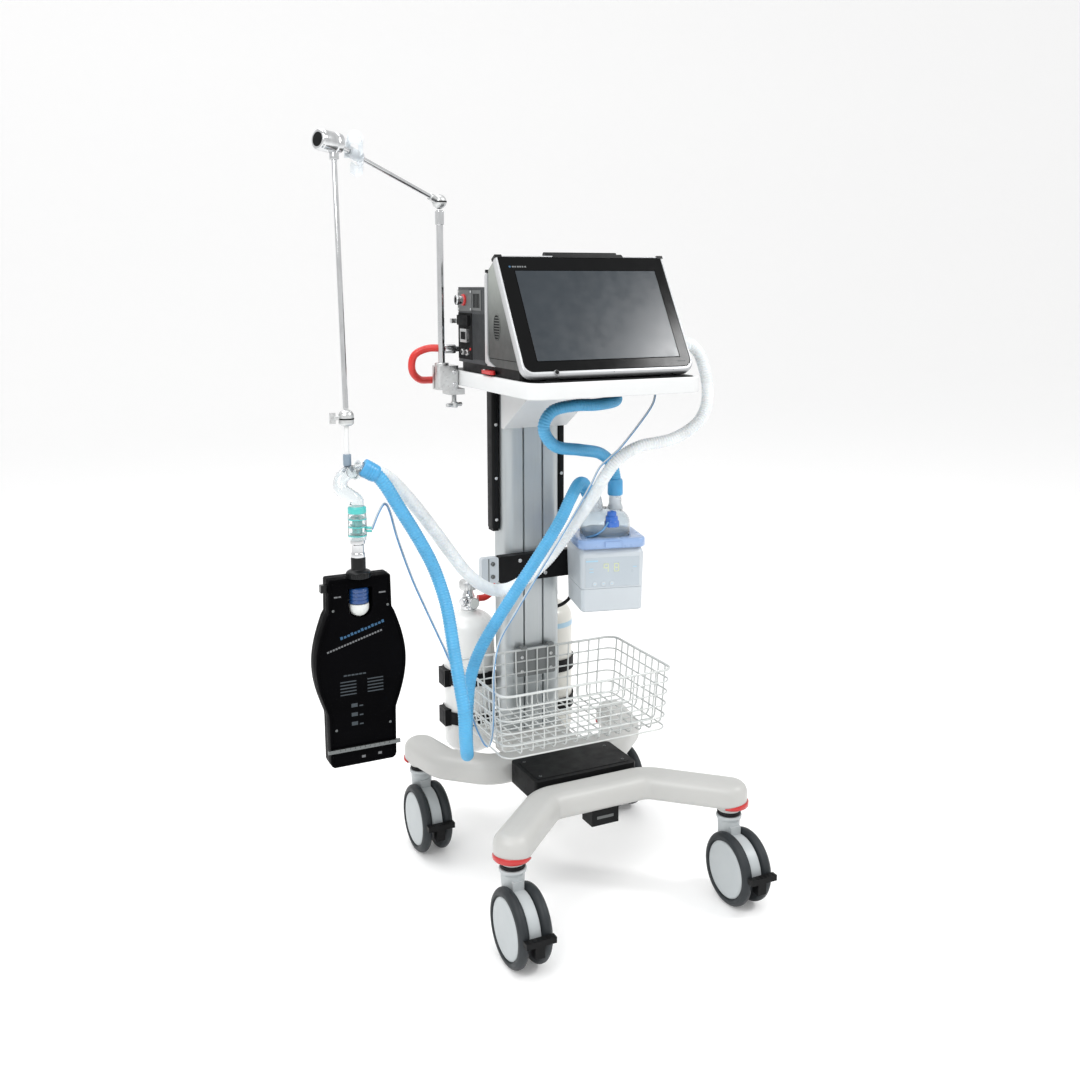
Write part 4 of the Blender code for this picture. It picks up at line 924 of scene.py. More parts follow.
def column_outline():
    """Extruded section: rounded corners and two slots in front."""
    slot = 0.0019
    depth = 0.0065
    front = COLUMN_FRONT
    corner = 0.022
    half = COLUMN_HALF
    points = [Vector((half - corner, front))]
    for x in (GROOVE_X, -GROOVE_X):
        points += [Vector((x + slot, front)), Vector((x + slot, front + depth)),
                   Vector((x - slot, front + depth)), Vector((x - slot, front))]
    for centre, start in ((Vector((-half + corner, front + corner)), -90),
                          (Vector((-half + corner, COLUMN_BACK - corner)), 180),
                          (Vector((half - corner, COLUMN_BACK - corner)), 90),
                          (Vector((half - corner, front + corner)), 0)):
        for step in range(11):
            turn = radians(start - 9 * step)
            points.append(centre + Vector((cos(turn), sin(turn))) * corner)
    return points[:-1]


def build_column(mats):
    piece("mast", prism(column_outline(), BEAM_TOP + 0.0003, COLUMN_TOP, "Z"), mats["aluminium"],
          replaces=["column"], smooth=25)
    collar = prism(rectangle(-0.0665, 0.0665, COLUMN_FRONT - 0.007, COLUMN_BACK + 0.005, 0.026, 8),
                   BEAM_TOP - 0.001, BEAM_TOP + 0.006, "Z", 0.002, 3)
    piece("mast_collar", collar, mats["base_white"])
    for side, sign in (("left", -1), ("right", 1)):
        middle = sign * (COLUMN_HALF + 0.00775)
        bar = prism(rectangle(middle - 0.0071, middle + 0.0071, 0.1625, 0.1895, 0.004), 0.606, COLUMN_TOP,
                    "Z", 0.0012)
        foot = soft_block((middle - 0.0055, 0.1650, 0.6005), (middle + 0.0055, 0.1870, 0.6075), 0.0022, 3)
        screws = [(socket_screw((middle, 0.1622, z), (0, -1, 0), 0.0030, 0.0015), 1)
                  for z in (0.622, 0.700, 0.800)]
        piece("rail_" + side, merged(bar, foot, *screws), [mats["black"], mats["cast_silver"]],
              replaces=["side_rail_" + side])
    build_column_head(mats)


def build_column_head(mats):
    """White bracket that leans forward from the column to the tray."""
    foot = COLUMN_TOP
    side = [(0.135, 0.795), (COLUMN_FRONT - 0.0005, 0.795), (COLUMN_FRONT - 0.0005, foot), (0.021, foot),
            (0.021, 0.8655)]
    wedge = prism(side, -0.0635, 0.0635, "X", 0.003, 3)
    cap = prism(rectangle(-0.0775, 0.0775, 0.0105, 0.183, 0.011), foot + 0.0002,
                TRAY_TOP - RAIL_HEIGHT + 0.0012, "Z", 0.0018, 2)
    screws = [(socket_screw((x, y, foot + 0.0004), (0, 0, -1), 0.0035, 0.0022), 1)
              for x in (-0.0705, 0.0705) for y in (0.030, 0.150)]
    piece("head_bracket", merged(wedge, cap, *screws), [mats["white"], mats["dark_steel"]],
          replaces=["column_head"])


def build_bracket(mats):
    """Black cross plate with its bolts, and the pale clamp at its left end."""
    front = COLUMN_FRONT - 0.0185
    plate = prism(rectangle(-0.0775, 0.1035, 0.5098, 0.5597, 0.004), front, COLUMN_FRONT - 0.0006, "Y",
                  0.0012)
    spots = [(x, z) for x in (-0.036, 0.016, 0.088) for z in (0.5205, 0.5490)]
    bolts = [(socket_screw((x, front, z), (0, -1, 0), 0.0036, 0.0026), 1) for x, z in spots]
    piece("cross_plate", merged(plate, *bolts), [mats["black"], mats["cast_silver"]],
          replaces=["humidifier_bracket"])
    wing = prism(rectangle(-0.1120, -0.0782, 0.5120, 0.5600, 0.005), front + 0.001, front + 0.014, "Y",
                 0.002, 3)
    groove = soft_block((-0.0990, front + 0.0002, 0.5140), (-0.0972, front + 0.0012, 0.5580), 0.0003, 1)
    bolts = [(socket_screw((-0.0900, front + 0.001, z), (0, -1, 0), 0.0040, 0.0028), 1)
             for z in (0.5240, 0.5480)]
    piece("clamp_wing", merged((wing, 0), (groove, 1), *bolts), [mats["panel_grey"], mats["dark_steel"]])


def strap_loop(height):
    """Band around both bottles, hollow, in one wide racetrack with stitched edges."""
    path = [Vector((-BOTTLE_X, BOTTLE_Y)), Vector((BOTTLE_X, BOTTLE_Y))]
    rings = []
    for radius, z in ((0.0512, -0.0118), (0.0534, -0.0125), (0.0537, -0.0105), (0.0532, -0.0095),
                      (0.0532, 0.0095), (0.0537, 0.0105), (0.0534, 0.0125), (0.0512, 0.0118),
                      (0.0512, -0.0118)):
        rings.append([Vector((p.x, p.y, height + z)) for p in strip_outline(path, radius, 24)])
    return loft(rings, False)


def build_bottles(mats):
    for side, sign in (("left", -1), ("right", 1)):
        build_bottle(side, sign * BOTTLE_X, mats)
    for name, height in zip(("lower", "upper"), STRAP_HEIGHTS):
        left = -BOTTLE_X - 0.0535
        buckle = soft_block((left - 0.0055, BOTTLE_Y - 0.0195, height - 0.0165),
                            (left + 0.0080, BOTTLE_Y + 0.0135, height + 0.0165), 0.003, 3)
        tail = soft_block((left - 0.0060, BOTTLE_Y - 0.012, height - 0.0120),
                          (left - 0.0046, BOTTLE_Y + 0.010, height + 0.0120), 0.0006, 1)
        piece("band_" + name, merged((strap_loop(height), 0), (buckle, 1), (tail, 0)),
              [mats["rubber"], mats["black"]], replaces=["strap_" + name])
    cradle = []
    for height in STRAP_HEIGHTS:
        for sign in (-1, 1):
            cradle.append(soft_block((sign * BOTTLE_X * 0.55 - 0.018, COLUMN_BACK + 0.0004, height - 0.011),
                                     (sign * BOTTLE_X * 0.55 + 0.018, COLUMN_BACK + 0.0110, height + 0.011),
                                     0.002))
        cradle.append(soft_block((-0.058, COLUMN_BACK + 0.0002, height - 0.014),
                                 (0.058, COLUMN_BACK + 0.0050, height + 0.014), 0.0015))
    tie = soft_block((-0.020, COLUMN_BACK + 0.0003, 0.200), (0.020, COLUMN_BACK + 0.0042, 0.330), 0.0012)
    piece("bottle_cradle", merged(tie, *cradle), mats["black"])


def build_bottle(side, x, mats):
    shell = [(0.004, BOTTLE_FOOT)]
    for angle in range(10, 91, 10):
        turn = radians(angle)
        shell.append((BOTTLE_RADIUS * sin(turn), BOTTLE_FOOT + 0.034 * (1 - cos(turn))))
    for angle in range(90, 9, -10):
        turn = radians(angle)
        shell.append((0.0140 + (BOTTLE_RADIUS - 0.0140) * sin(turn),
                      BOTTLE_SHOULDER - 0.034 + 0.034 * cos(turn)))
    shell += [(0.0160, BOTTLE_SHOULDER + 0.001), (0.0160, BOTTLE_SHOULDER + 0.004),
              (0.004, BOTTLE_SHOULDER + 0.004)]
    parts = [(lathe(shell, 64, "Z", (x, BOTTLE_Y, 0)), 0)]
    if side == "right":
        band = [(BOTTLE_RADIUS + 0.0002, 0.3780), (BOTTLE_RADIUS + 0.0002, 0.3880)]
        parts.append((lathe(band, 64, "Z", (x, BOTTLE_Y, 0)), 1))
    skin = mats["bottle"] if side == "left" else mats["bottle_cream"]
    piece("gas_bottle_" + side, merged(*parts), [skin, mats["label_blue"]], replaces=["bottle_" + side],
          smooth=50)
    build_valve(side, x, mats)


def build_valve(side, x, mats):
    """Chromed valve: body, side gauge, outlet and a ribbed hand knob on top."""
    low = BOTTLE_SHOULDER + 0.004
    body = lathe(fillet([(0.004, low), (0.0150, low), (0.0150, low + 0.008), (0.0120, low + 0.010),
                         (0.0120, low + 0.028), (0.0100, low + 0.031), (0.0090, low + 0.038),
                         (0.004, low + 0.038)], 0.0012), 32, "Z", (x, BOTTLE_Y, 0))
    outlet = rod((x, BOTTLE_Y, low + 0.018), (x - 0.020, BOTTLE_Y - 0.012, low + 0.018), 0.0060, 24, 0.0010)
    nut = lathe([(0.0085, 0.0), (0.0085, 0.008)], 6)
    nut.transform(toward((x - 0.010, BOTTLE_Y - 0.006, low + 0.018),
                         (x - 0.020, BOTTLE_Y - 0.012, low + 0.018)))
    gauge = rod((x, BOTTLE_Y - 0.008, low + 0.016), (x + 0.002, BOTTLE_Y - 0.026, low + 0.016), 0.0110, 32,
                0.0012)
    dial = rod((x + 0.002, BOTTLE_Y - 0.0255, low + 0.016), (x + 0.0021, BOTTLE_Y - 0.0264, low + 0.016),
               0.0092, 32)
    piece("valve_" + side, merged((body, 0), (outlet, 0), (nut, 0), (gauge, 0), (dial, 1)),
          [mats["chrome"], mats["bulb"]], smooth=35)
    knob_low = BOTTLE_SHOULDER + 0.042 + GAP
    ribs = 20
    rings = []
    for radius, z in ((0.0120, 0.0), (0.0165, 0.0015), (0.0178, 0.0045), (0.0178, 0.0150), (0.0160, 0.0185),
                      (0.0110, 0.0198), (0.0020, 0.0200)):
        ring = []
        for i in range(ribs * 4):
            groove = 1.0 - 0.055 * (1 + cos(2 * pi * i / 4)) / 2 if radius > 0.015 else 1.0
            angle = 2 * pi * i / (ribs * 4)
            ring.append(Vector((x + radius * groove * cos(angle), BOTTLE_Y + radius * groove * sin(angle),
                                knob_low + z)))
        rings.append(ring)
    piece("hand_knob_" + side, loft(rings), mats["cast_silver"], "valve_knob_" + side,
          ["valve_knob_" + side], 45)


# ---------------------------------------------------------------- wire basket

WIRE = 0.0015
RIM_WIRE = 0.0024
CELL = 0.0222


def basket_side(z):
    """How far in the tapered basket's walls stand at a height: half width and front."""
    t = (z - BASKET_BOTTOM) / (BASKET_TOP - BASKET_BOTTOM)
    return BASKET_HALF - 0.008 * (1 - t), BASKET_FRONT + 0.006 * (1 - t)


def hoop(z, wire, inset=0.0):
    half, front = basket_side(z)
    outline = rectangle(-half + inset, half - inset, front + inset, BASKET_BACK - inset, 0.020 - inset, 8)
    points = [Vector((x, y, z)) for x, y in outline]
    return ring_sweep(points, wire, 8)


def ring_sweep(points, radius, sides):
    """Closed loop of wire in a level plane."""
    rings = []
    count = len(points)
    for i, point in enumerate(points):
        ahead = (points[(i + 1) % count] - points[i - 1]).normalized()
        normal = Vector((-ahead.y, ahead.x, 0))
        rings.append([point + normal * a + Vector((0, 0, b)) for a, b in ring_points(radius, sides)])
    return loft(rings + [rings[0]], False)


def hanging_wire(profile):
    """Wire that goes down one wall, along the floor and up the other, with bent corners."""
    path = [profile[0]]
    bend = 0.010
    for before, here, after in zip(profile, profile[1:], profile[2:]):
        start = here + (before - here).normalized() * bend
        end = here + (after - here).normalized() * bend
        path += [start * (1 - t) ** 2 + here * 2 * t * (1 - t) + end * t ** 2
                 for t in (0, 0.25, 0.5, 0.75, 1)]
    path.append(profile[-1])
    return sweep(path, WIRE, 7)


def build_basket(mats):
    top = BASKET_TOP - RIM_WIRE
    low = BASKET_BOTTOM + WIRE
    inset = WIRE * 2
    wires = []
    half_low, front_low = basket_side(low)
    half_top, front_top = basket_side(top)
    across = int((half_low - 0.012) / CELL)
    for i in range(-across, across + 1):
        x = i * CELL
        lean = x * half_low / half_top
        wires.append(hanging_wire([Vector((x, front_top + inset, top)),
                                   Vector((lean, front_low + inset, low + inset)),
                                   Vector((lean, BASKET_BACK - inset, low + inset)),
                                   Vector((x, BASKET_BACK - inset, top))]))
    depth = BASKET_BACK - front_low
    rows = int((depth - 0.024) / CELL)
    first = (BASKET_BACK + front_low) / 2 - rows * CELL / 2
    for i in range(rows + 1):
        y = first + i * CELL
        wires.append(hanging_wire([Vector((-half_top + inset, y, top)),
                                   Vector((-half_low + inset, y, low + inset * 2)),
                                   Vector((half_low - inset, y, low + inset * 2)),
                                   Vector((half_top - inset, y, top))]))
    for level in range(1, 5):
        wires.append(hoop(BASKET_TOP - RIM_WIRE - level * CELL, WIRE))
    wires.append(hoop(low, WIRE))
    wires.append(hoop(BASKET_TOP - RIM_WIRE, RIM_WIRE))
    piece("wire_basket", merged(*wires), mats["wire_white"], replaces=["basket"], smooth=70)
    plate = prism(rectangle(-0.040, 0.040, 0.322, 0.376, 0.004), BASKET_BACK + 0.0004,
                  COLUMN_FRONT - 0.0004, "Y", 0.0012)
    hooks = [soft_block((x - 0.006, BASKET_BACK - 0.0055, 0.3772),
                        (x + 0.006, BASKET_BACK + 0.0060, 0.3815), 0.0015) for x in (-0.028, 0.028)]
    screws = [(socket_screw((x, BASKET_BACK + 0.0005, z), (0, -1, 0), 0.0034, 0.0022), 1)
              for x in (-0.030, 0.030) for z in (0.332, 0.360)]
    piece("basket_plate", merged(plate, *hooks, *screws), [mats["plate_grey"], mats["cast_silver"]])


# ---------------------------------------------------------------- tray

def tray_outline(inset, corner):
    return rectangle(-TRAY_HALF + inset, TRAY_HALF - inset, TRAY_FRONT + inset, TRAY_BACK - inset, corner, 10)


def build_tray(mats):
    """White rail with rounded lips round a black plate, and the thin mat under the unit."""
    low = TRAY_TOP - RAIL_HEIGHT
    wall = 0.008
    levels = [(0.0016, low), (0.0004, low + 0.0006), (0.0, low + 0.0022), (0.0, TRAY_TOP - 0.0032),
              (0.0006, TRAY_TOP - 0.0012), (0.0018, TRAY_TOP), (wall - 0.0018, TRAY_TOP),
              (wall - 0.0006, TRAY_TOP - 0.0012), (wall, TRAY_TOP - 0.0032), (wall, low + 0.0022),
              (wall - 0.0006, low + 0.0006), (wall - 0.0018, low)]
    rings = [[Vector((x, y, z)) for x, y in tray_outline(inset, 0.024 - inset)] for inset, z in levels]
    piece("tray_edge", loft(rings + [rings[0]], False), mats["white"], replaces=["tray_rail"], smooth=50)
    edge = wall + GAP
    plate = prism(tray_outline(edge, 0.0156), low + 0.002, TRAY_TOP - 0.0015, "Z", 0.0008)
    bolts = [(socket_screw((x, y, low + 0.0019), (0, 0, -1), 0.0045, 0.0024), 1)
             for x in (-0.112, 0.112) for y in (-0.110, 0.150)]
    piece("tray_panel", merged(plate, *bolts), [mats["black"], mats["cast_silver"]], replaces=["tray_plate"])
    mat = prism(rectangle(-0.1485, 0.1485, -0.1680, 0.1200, 0.010), TRAY_TOP - 0.0014, TRAY_TOP + 0.0003,
                "Z", 0.0005)
    piece("tray_mat", mat, mats["rubber"])
    shelf = prism(rectangle(-0.150, 0.150, -0.128, 0.118, 0.006), TRAY_TOP + GAP, UNIT_BOTTOM - GAP, "Z",
                  0.0012)
    feet = [soft_block((x - 0.012, -0.150, TRAY_TOP + 0.0004), (x + 0.012, -0.1285, TRAY_TOP + 0.0080), 0.002)
            for x in (-0.105, 0.105)]
    piece("docking_base", merged(shelf, *feet), mats["black"], replaces=["docking_plate"])
    lever = prism(strip_outline([Vector((-0.1565, -0.0320)), Vector((-0.1565, 0.002))], 0.0048),
                  TRAY_TOP + 0.0032, TRAY_TOP + 0.0092, "Z", 0.0014)
    pin = rod((-0.1565, 0.002, TRAY_TOP + 0.0028), (-0.1565, 0.002, TRAY_TOP + 0.0100), 0.0026, 20, 0.0006)
    grip = [soft_block((-0.1595, -0.0335 + i * 0.0040, TRAY_TOP + 0.0088),
                       (-0.1535, -0.0320 + i * 0.0040, TRAY_TOP + 0.0097), 0.0002, 1) for i in range(5)]
    piece("release_tab", merged(lever, *grip, (pin, 1)), [mats["red"], mats["cast_silver"]], "release_lever",
          ["release_lever"])


# ---------------------------------------------------------------- ventilator

PANEL_TURN = Matrix.Translation(PANEL_FOOT) @ Matrix.Rotation(pi / 2 - PANEL_SLOPE, 4, "X")
PANEL_HALF = UNIT_HALF + 0.001
SCREEN = (-0.1275, 0.1335, 0.0270, 0.1900)


def panel_outline(side, foot, top, low_radius, high_radius):
    corners = [(-PANEL_HALF + side, foot), (PANEL_HALF - side, foot), (PANEL_HALF - side, PANEL_HEIGHT - top),
               (-PANEL_HALF + side, PANEL_HEIGHT - top)]
    return round_corners(corners, [low_radius, low_radius, high_radius, high_radius], 8)


def build_front_frame(mats):
    """Bright frame: square back edge, round front lip and a deeper rounded band along the foot."""
    levels = [((0.0010, 0.0010, 0.0010, 0.019, 0.004), -PANEL_THICK),
              ((0.0, 0.0, 0.0, 0.020, 0.005), -0.0128)]
    for angle in range(0, 91, 15):
        turn = radians(angle)
        inset = 0.0026 * (1 - cos(turn))
        levels.append(((inset, inset * 2.4, inset, 0.020 - inset, 0.005 - inset),
                       -0.0040 + 0.0040 * sin(turn)))
    levels += [((0.0037, 0.0082, 0.0030, 0.0155, 0.0030), -0.0002),
               ((0.0040, 0.0086, 0.0033, 0.0152, 0.0028), -0.0018)]
    rings = [[Vector((x, v, depth)) for x, v in panel_outline(*sizes)] for sizes, depth in levels]
    dots = [(lathe(fillet([(0.0004, 0.0), (0.0011, 0.0), (0.0011, 0.0007), (0.0003, 0.0009)], 0.0003), 12,
                   "Z", (x, 0.0042, -0.0011)), 1) for x in (0.0030, 0.1145)]
    piece("panel_frame", merged(loft(rings), *dots), [mats["frame_silver"], mats["black"]],
          replaces=["front_frame"], smooth=50, turn=PANEL_TURN)
    top = PANEL_HEIGHT + 0.0003
    caps = []
    for sign in (-1, 1):
        edge = sign * (PANEL_HALF + 0.0003)
        inner = sign * (PANEL_HALF - 0.0120)
        caps.append(soft_block((min(edge, inner), top - 0.0053, -0.0143), (max(edge, inner), top, 0.0003),
                               0.0010, 3))
    pad = [(-0.0550, PANEL_HEIGHT - 0.0046), (0.0800, PANEL_HEIGHT - 0.0046), (0.0770, PANEL_HEIGHT + 0.0018),
           (-0.0520, PANEL_HEIGHT + 0.0018)]
    caps.append(prism(round_corners(pad, 0.0010, 3), -0.0143, 0.0003, "Z", 0.0006))
    piece("panel_caps", merged(*caps), mats["satin_black"], turn=PANEL_TURN)


def build_display(mats):
    levels = [((0.0047, 0.0092, 0.0040, 0.0148, 0.0026), -0.0034),
              ((0.0042, 0.0088, 0.0035, 0.0152, 0.0028), -0.0016),
              ((0.0044, 0.0090, 0.0037, 0.0150, 0.0027), -0.0009),
              ((0.0052, 0.0098, 0.0045, 0.0142, 0.0022), -0.0005)]
    rings = [[Vector((x, v, depth)) for x, v in panel_outline(*sizes)] for sizes, depth in levels]
    low_x, high_x, low_v, high_v = SCREEN
    shown = loft([[Vector((x, v, depth)) for x, v in rectangle(low_x + inset, high_x - inset, low_v + inset,
                                                             high_v - inset, 0.001)]
                  for inset, depth in ((0.0, -0.0007), (0.0, -0.00042), (0.0002, -0.0003))])
    border = []
    for x, v, width, height in ((low_x - 0.0012, low_v - 0.0012, high_x - low_x + 0.0024, 0.0012),
                                (low_x - 0.0012, high_v, high_x - low_x + 0.0024, 0.0012),
                                (low_x - 0.0012, low_v, 0.0012, high_v - low_v),
                                (high_x, low_v, 0.0012, high_v - low_v)):
        border.append((soft_block((x, v, -0.0007), (x + width, v + height, -0.00034), 0.0), 2))
    marks = [(lathe([(0.0019, -0.0006), (0.0019, -0.00035)], 20, "Z", (-0.1352, 0.1975, 0.0)), 3)]
    for i, width in enumerate((0.0034, 0.0026, 0.0034, 0.0030, 0.0026, 0.0030)):
        marks.append((soft_block((-0.1312 + i * 0.0044, 0.1961, -0.0006),
                                 (-0.1312 + i * 0.0044 + width, 0.1989, -0.00035), 0.0), 4))
    for i, width in enumerate((0.0030, 0.0022, 0.0034, 0.0026)):
        marks.append((soft_block((0.1262 + i * 0.0042, 0.0180, -0.0006),
                                 (0.1262 + i * 0.0042 + width, 0.0192, -0.00035), 0.0), 5))
    piece("display", merged((loft(rings), 0), (shown, 1), *border, *marks),
          [mats["bezel"], mats["screen"], mats["plate_black"], mats["print_blue"], mats["print_grey"],
           mats["print_dim"]], replaces=["display_glass"], smooth=12, turn=PANEL_TURN)
    build_power_key(mats)


def build_power_key(mats):
    """Small round key that stands in a low ring on the frame's foot."""
    centre = (-0.1000, 0.0058, 0.0)
    ring = turned_ring([(0.0034, -0.0020), (0.0043, -0.0020), (0.0043, 0.0014), (0.0038, 0.0019),
                        (0.0034, 0.0016)], 32, "Z", centre)
    piece("key_ring", ring, mats["frame_silver"], smooth=40, turn=PANEL_TURN)
    key = lathe(fillet([(0.0004, 0.0017), (0.0031, 0.0017), (0.0031, 0.0029), (0.0025, 0.0033),
                        (0.0010, 0.0030), (0.0003, 0.0030)], 0.0003, 3), 32, "Z", centre)
    piece("power_key", key, mats["black"], "power_button", ["power_button"], 40, PANEL_TURN)


def panel_back(z, clearance=0.0):
    """How far forward the back of the leaning panel stands at a height."""
    along = (z - PANEL_FOOT.z + PANEL_THICK * sin(PANEL_SLOPE)) / cos(PANEL_SLOPE)
    return PANEL_FOOT.y + PANEL_THICK * cos(PANEL_SLOPE) + along * sin(PANEL_SLOPE) + clearance


def build_housing(mats):
    """Wedge between the panel and the middle frame: cheeks up to the apex, lower deck between them."""
    back = MID_FRAME_Y - 0.0004
    skin = 0.0007
    low = UNIT_BOTTOM
    apex = 1.0925

    def wedge(top):
        return [(panel_back(low, skin), low), (back, low), (back, top), (panel_back(top, skin), top)]

    deck = prism(wedge(HOUSING_TOP), -0.1500, 0.1500, "X", 0.0015)
    cheeks = [prism([(panel_back(low, skin), low), (back, low), (back, 1.0780), (-0.0330, apex),
                     (panel_back(apex, skin), apex)], min(side * 0.1540, side * 0.1400),
                    max(side * 0.1540, side * 0.1400), "X", 0.0022, 3) for side in (-1, 1)]
    parts = [(deck, 0)] + [(cheek, 0) for cheek in cheeks]
    for side in (-1, 1):
        x = side * 0.1541
        rim = sweep_ring([(x, -0.0455 + 0.0125 * cos(a), 0.9870 + 0.0215 * sin(a))
                          for a in [2 * pi * i / 40 for i in range(40)]], 0.0009)
        parts.append((rim, 0))
        for i in range(-4, 5):
            reach = 0.0112 * (1 - (i / 5.2) ** 2) ** 0.5
            z = 0.9870 + i * 0.0044
            parts.append((soft_block((min(x - side * 0.001, x + side * 0.0003), -0.0455 - reach, z - 0.0012),
                                     (max(x - side * 0.001, x + side * 0.0003), -0.0455 + reach, z + 0.0012),
                                     0.0), 1))
        seam = soft_block((min(x - side * 0.0006, x + side * 0.0001), panel_back(0.936) + 0.002, 0.9352),
                          (max(x - side * 0.0006, x + side * 0.0001), back - 0.001, 0.9362), 0.0)
        parts.append((seam, 1))
    # the housing material paints a sheen that lightens the sides towards the top
    piece("housing", merged(*parts), [mats["housing"], mats["vent_dark"]], replaces=["main_housing"],
          smooth=35)
    build_mid_frame(mats)


def sweep_ring(points, radius):
    """Closed loop of round bar through points."""
    points = [Vector(point) for point in points]
    rings = []
    count = len(points)
    centre = sum(points, Vector()) / count
    for i, point in enumerate(points):
        ahead = (points[(i + 1) % count] - points[i - 1]).normalized()
        out = (point - centre).normalized()
        side = ahead.cross(out).normalized()
        rings.append([point + out * a + side * b for a, b in ring_points(radius, 8)])
    return loft(rings + [rings[0]], False)


def build_mid_frame(mats):
    low_y = MID_FRAME_Y
    high_y = MID_FRAME_Y + 0.0096
    band = prism(rectangle(-UNIT_HALF, UNIT_HALF, UNIT_BOTTOM, 1.0765, 0.008), low_y, high_y, "Y", 0.0022, 3)
    toes = []
    for side in (-1, 1):
        toe = [(low_y - 0.0002, UNIT_BOTTOM + 0.0002), (low_y - 0.0002, UNIT_BOTTOM + 0.018),
               (low_y - 0.006, UNIT_BOTTOM + 0.008), (low_y - 0.018, UNIT_BOTTOM + 0.0036),
               (low_y - 0.030, UNIT_BOTTOM + 0.0002)]
        toes.append(prism(toe, min(side * 0.1538, side * 0.1562), max(side * 0.1538, side * 0.1562), "X",
                          0.0008))
        caps = soft_block((min(side * 0.157, side * 0.118), low_y - 0.0006, 1.0745),
                          (max(side * 0.157, side * 0.118), low_y + 0.0050, 1.0795), 0.0016)
        toes.append((caps, 1))
    piece("middle_frame", merged(band, *toes), [mats["frame_silver"], mats["satin_black"]],
          replaces=["mid_frame"], smooth=40)
    legs = []
    for x in (-0.055, 0.066):
        legs.append(soft_block((x, -0.0222, 1.0684), (x + 0.014, -0.0106, 1.1000), 0.0022, 3))
    grip = prism(rectangle(-0.0222, -0.0104, 1.0955, 1.1085, 0.0048), -0.0550, 0.0800, "X", 0.0026, 3)
    piece("handle", merged(grip, *legs), mats["satin_black"], replaces=["carry_handle"], smooth=50)


def build_module(mats):
    """Gas module behind the unit: connectors and vents on its left side, ports and fan behind."""
    back = MODULE_BACK
    half = UNIT_HALF
    body = prism(rectangle(-half + 0.0010, half, 0.0, back, 0.004), UNIT_BOTTOM, MODULE_TOP, "Z", 0.0020, 3)
    x = -half + 0.0010
    plates = [
        (soft_block((x - 0.0012, 0.0560, 1.0100), (x + 0.001, 0.1180, 1.0460), 0.0008), 1),
        (soft_block((x - 0.0010, 0.0160, 1.0120), (x + 0.001, 0.0540, 1.0460), 0.0006), 1),
        (soft_block((x - 0.0008, 0.0560, 0.9280), (x + 0.001, 0.1180, 1.0070), 0.0006), 2),
    ]
    for i in range(5):
        plates.append((soft_block((x - 0.0014, 0.0220 + i * 0.0060, 1.0165),
                                  (x - 0.0009, 0.0252 + i * 0.0060, 1.0400), 0.0), 2))
    for i in range(11):
        y = 0.0040 + i * 0.0046
        plates.append((soft_block((x - 0.0009, y, 0.9300), (x + 0.0004, y + 0.0022, 1.0060), 0.0003, 1), 0))
    plates.append((soft_block((x - 0.0060, 0.0690, 0.9570), (x, 0.0980, 0.9800), 0.0016), 3))
    plates.append((soft_block((x - 0.0068, 0.0740, 0.9620), (x - 0.0058, 0.0930, 0.9750), 0.0004), 2))
    plates.append((soft_block((x - 0.0060, 0.0640, 0.9860), (x, 0.1120, 1.0030), 0.0020), 2))
    plates.append((soft_block((x - 0.0016, 0.0610, 0.9440), (x, 0.0660, 0.9480), 0.0004), 4))
    for i in range(2):
        y = 0.0740 + i * 0.0190
        plates.append((rod((x - 0.0050, y, 0.9400), (x + 0.001, y, 0.9400), 0.0052, 24, 0.0010), 3))
        plates.append((rod((x - 0.0053, y, 0.9400), (x - 0.0040, y, 0.9400), 0.0030, 20), 2))
    screws = [(socket_screw((x - 0.0010, y, z), (-1, 0, 0), 0.0020, 0.0010), 3)
              for y in (0.0600, 0.1140) for z in (1.0135, 1.0430)]
    piece("gas_module", merged((body, 0), *plates, *screws, *module_rear(back)),
          [mats["module_grey"], mats["graphite"], mats["vent_dark"], mats["cast_silver"], mats["red"]],
          replaces=["rear_module"], smooth=35)
    build_connectors(mats)


def module_rear(back):
    """Back of the module: fan guard, vents, mains inlet, screws and the collars of the two ports."""
    parts = []
    centre = (0.0150, back + 0.0004, 0.9900)
    for radius in (0.0100, 0.0165, 0.0230, 0.0295):
        ring = [(centre[0] + radius * cos(2 * pi * i / 48), back + 0.0022,
                 centre[2] + radius * sin(2 * pi * i / 48)) for i in range(48)]
        parts.append((sweep_ring(ring, 0.0009), 3))
    for i in range(4):
        angle = pi * i / 4 + pi / 8
        reach = Vector((cos(angle), 0, sin(angle))) * 0.0310
        middle = Vector((centre[0], back + 0.0022, centre[2]))
        parts.append((rod(middle - reach, middle + reach, 0.0008, 8), 3))
    parts.append((lathe(fillet([(0.001, back - 0.001), (0.0325, back - 0.001), (0.0325, back + 0.0007),
                                (0.001, back + 0.0007)], 0.0005), 48, "Y", (centre[0], 0, centre[2])), 2))
    for i in range(9):
        parts.append((soft_block((-0.0680 + i * 0.0055, back - 0.001, 0.9600),
                                 (-0.0652 + i * 0.0055, back + 0.0004, 1.0200), 0.0), 2))
    parts.append((soft_block((-0.1120, back - 0.001, 0.9310), (-0.0830, back + 0.0040, 0.9510), 0.0012), 2))
    for i in range(3):
        parts.append((soft_block((-0.1050 + i * 0.0065, back + 0.0038, 0.9385),
                                 (-0.1030 + i * 0.0065, back + 0.0052, 0.9435), 0.0), 3))
    parts.append((soft_block((-0.0720, back - 0.001, 0.9310), (-0.0560, back + 0.0030, 0.9430), 0.0008), 3))
    parts.append((soft_block((-0.0500, back - 0.001, 0.9310), (-0.0340, back + 0.0030, 0.9430), 0.0008), 3))
    for x in (-0.1480, 0.1480):
        for z in (0.9300, 1.0430):
            parts.append((socket_screw((x, back, z), (0, 1, 0), 0.0026, 0.0014), 3))
    return parts


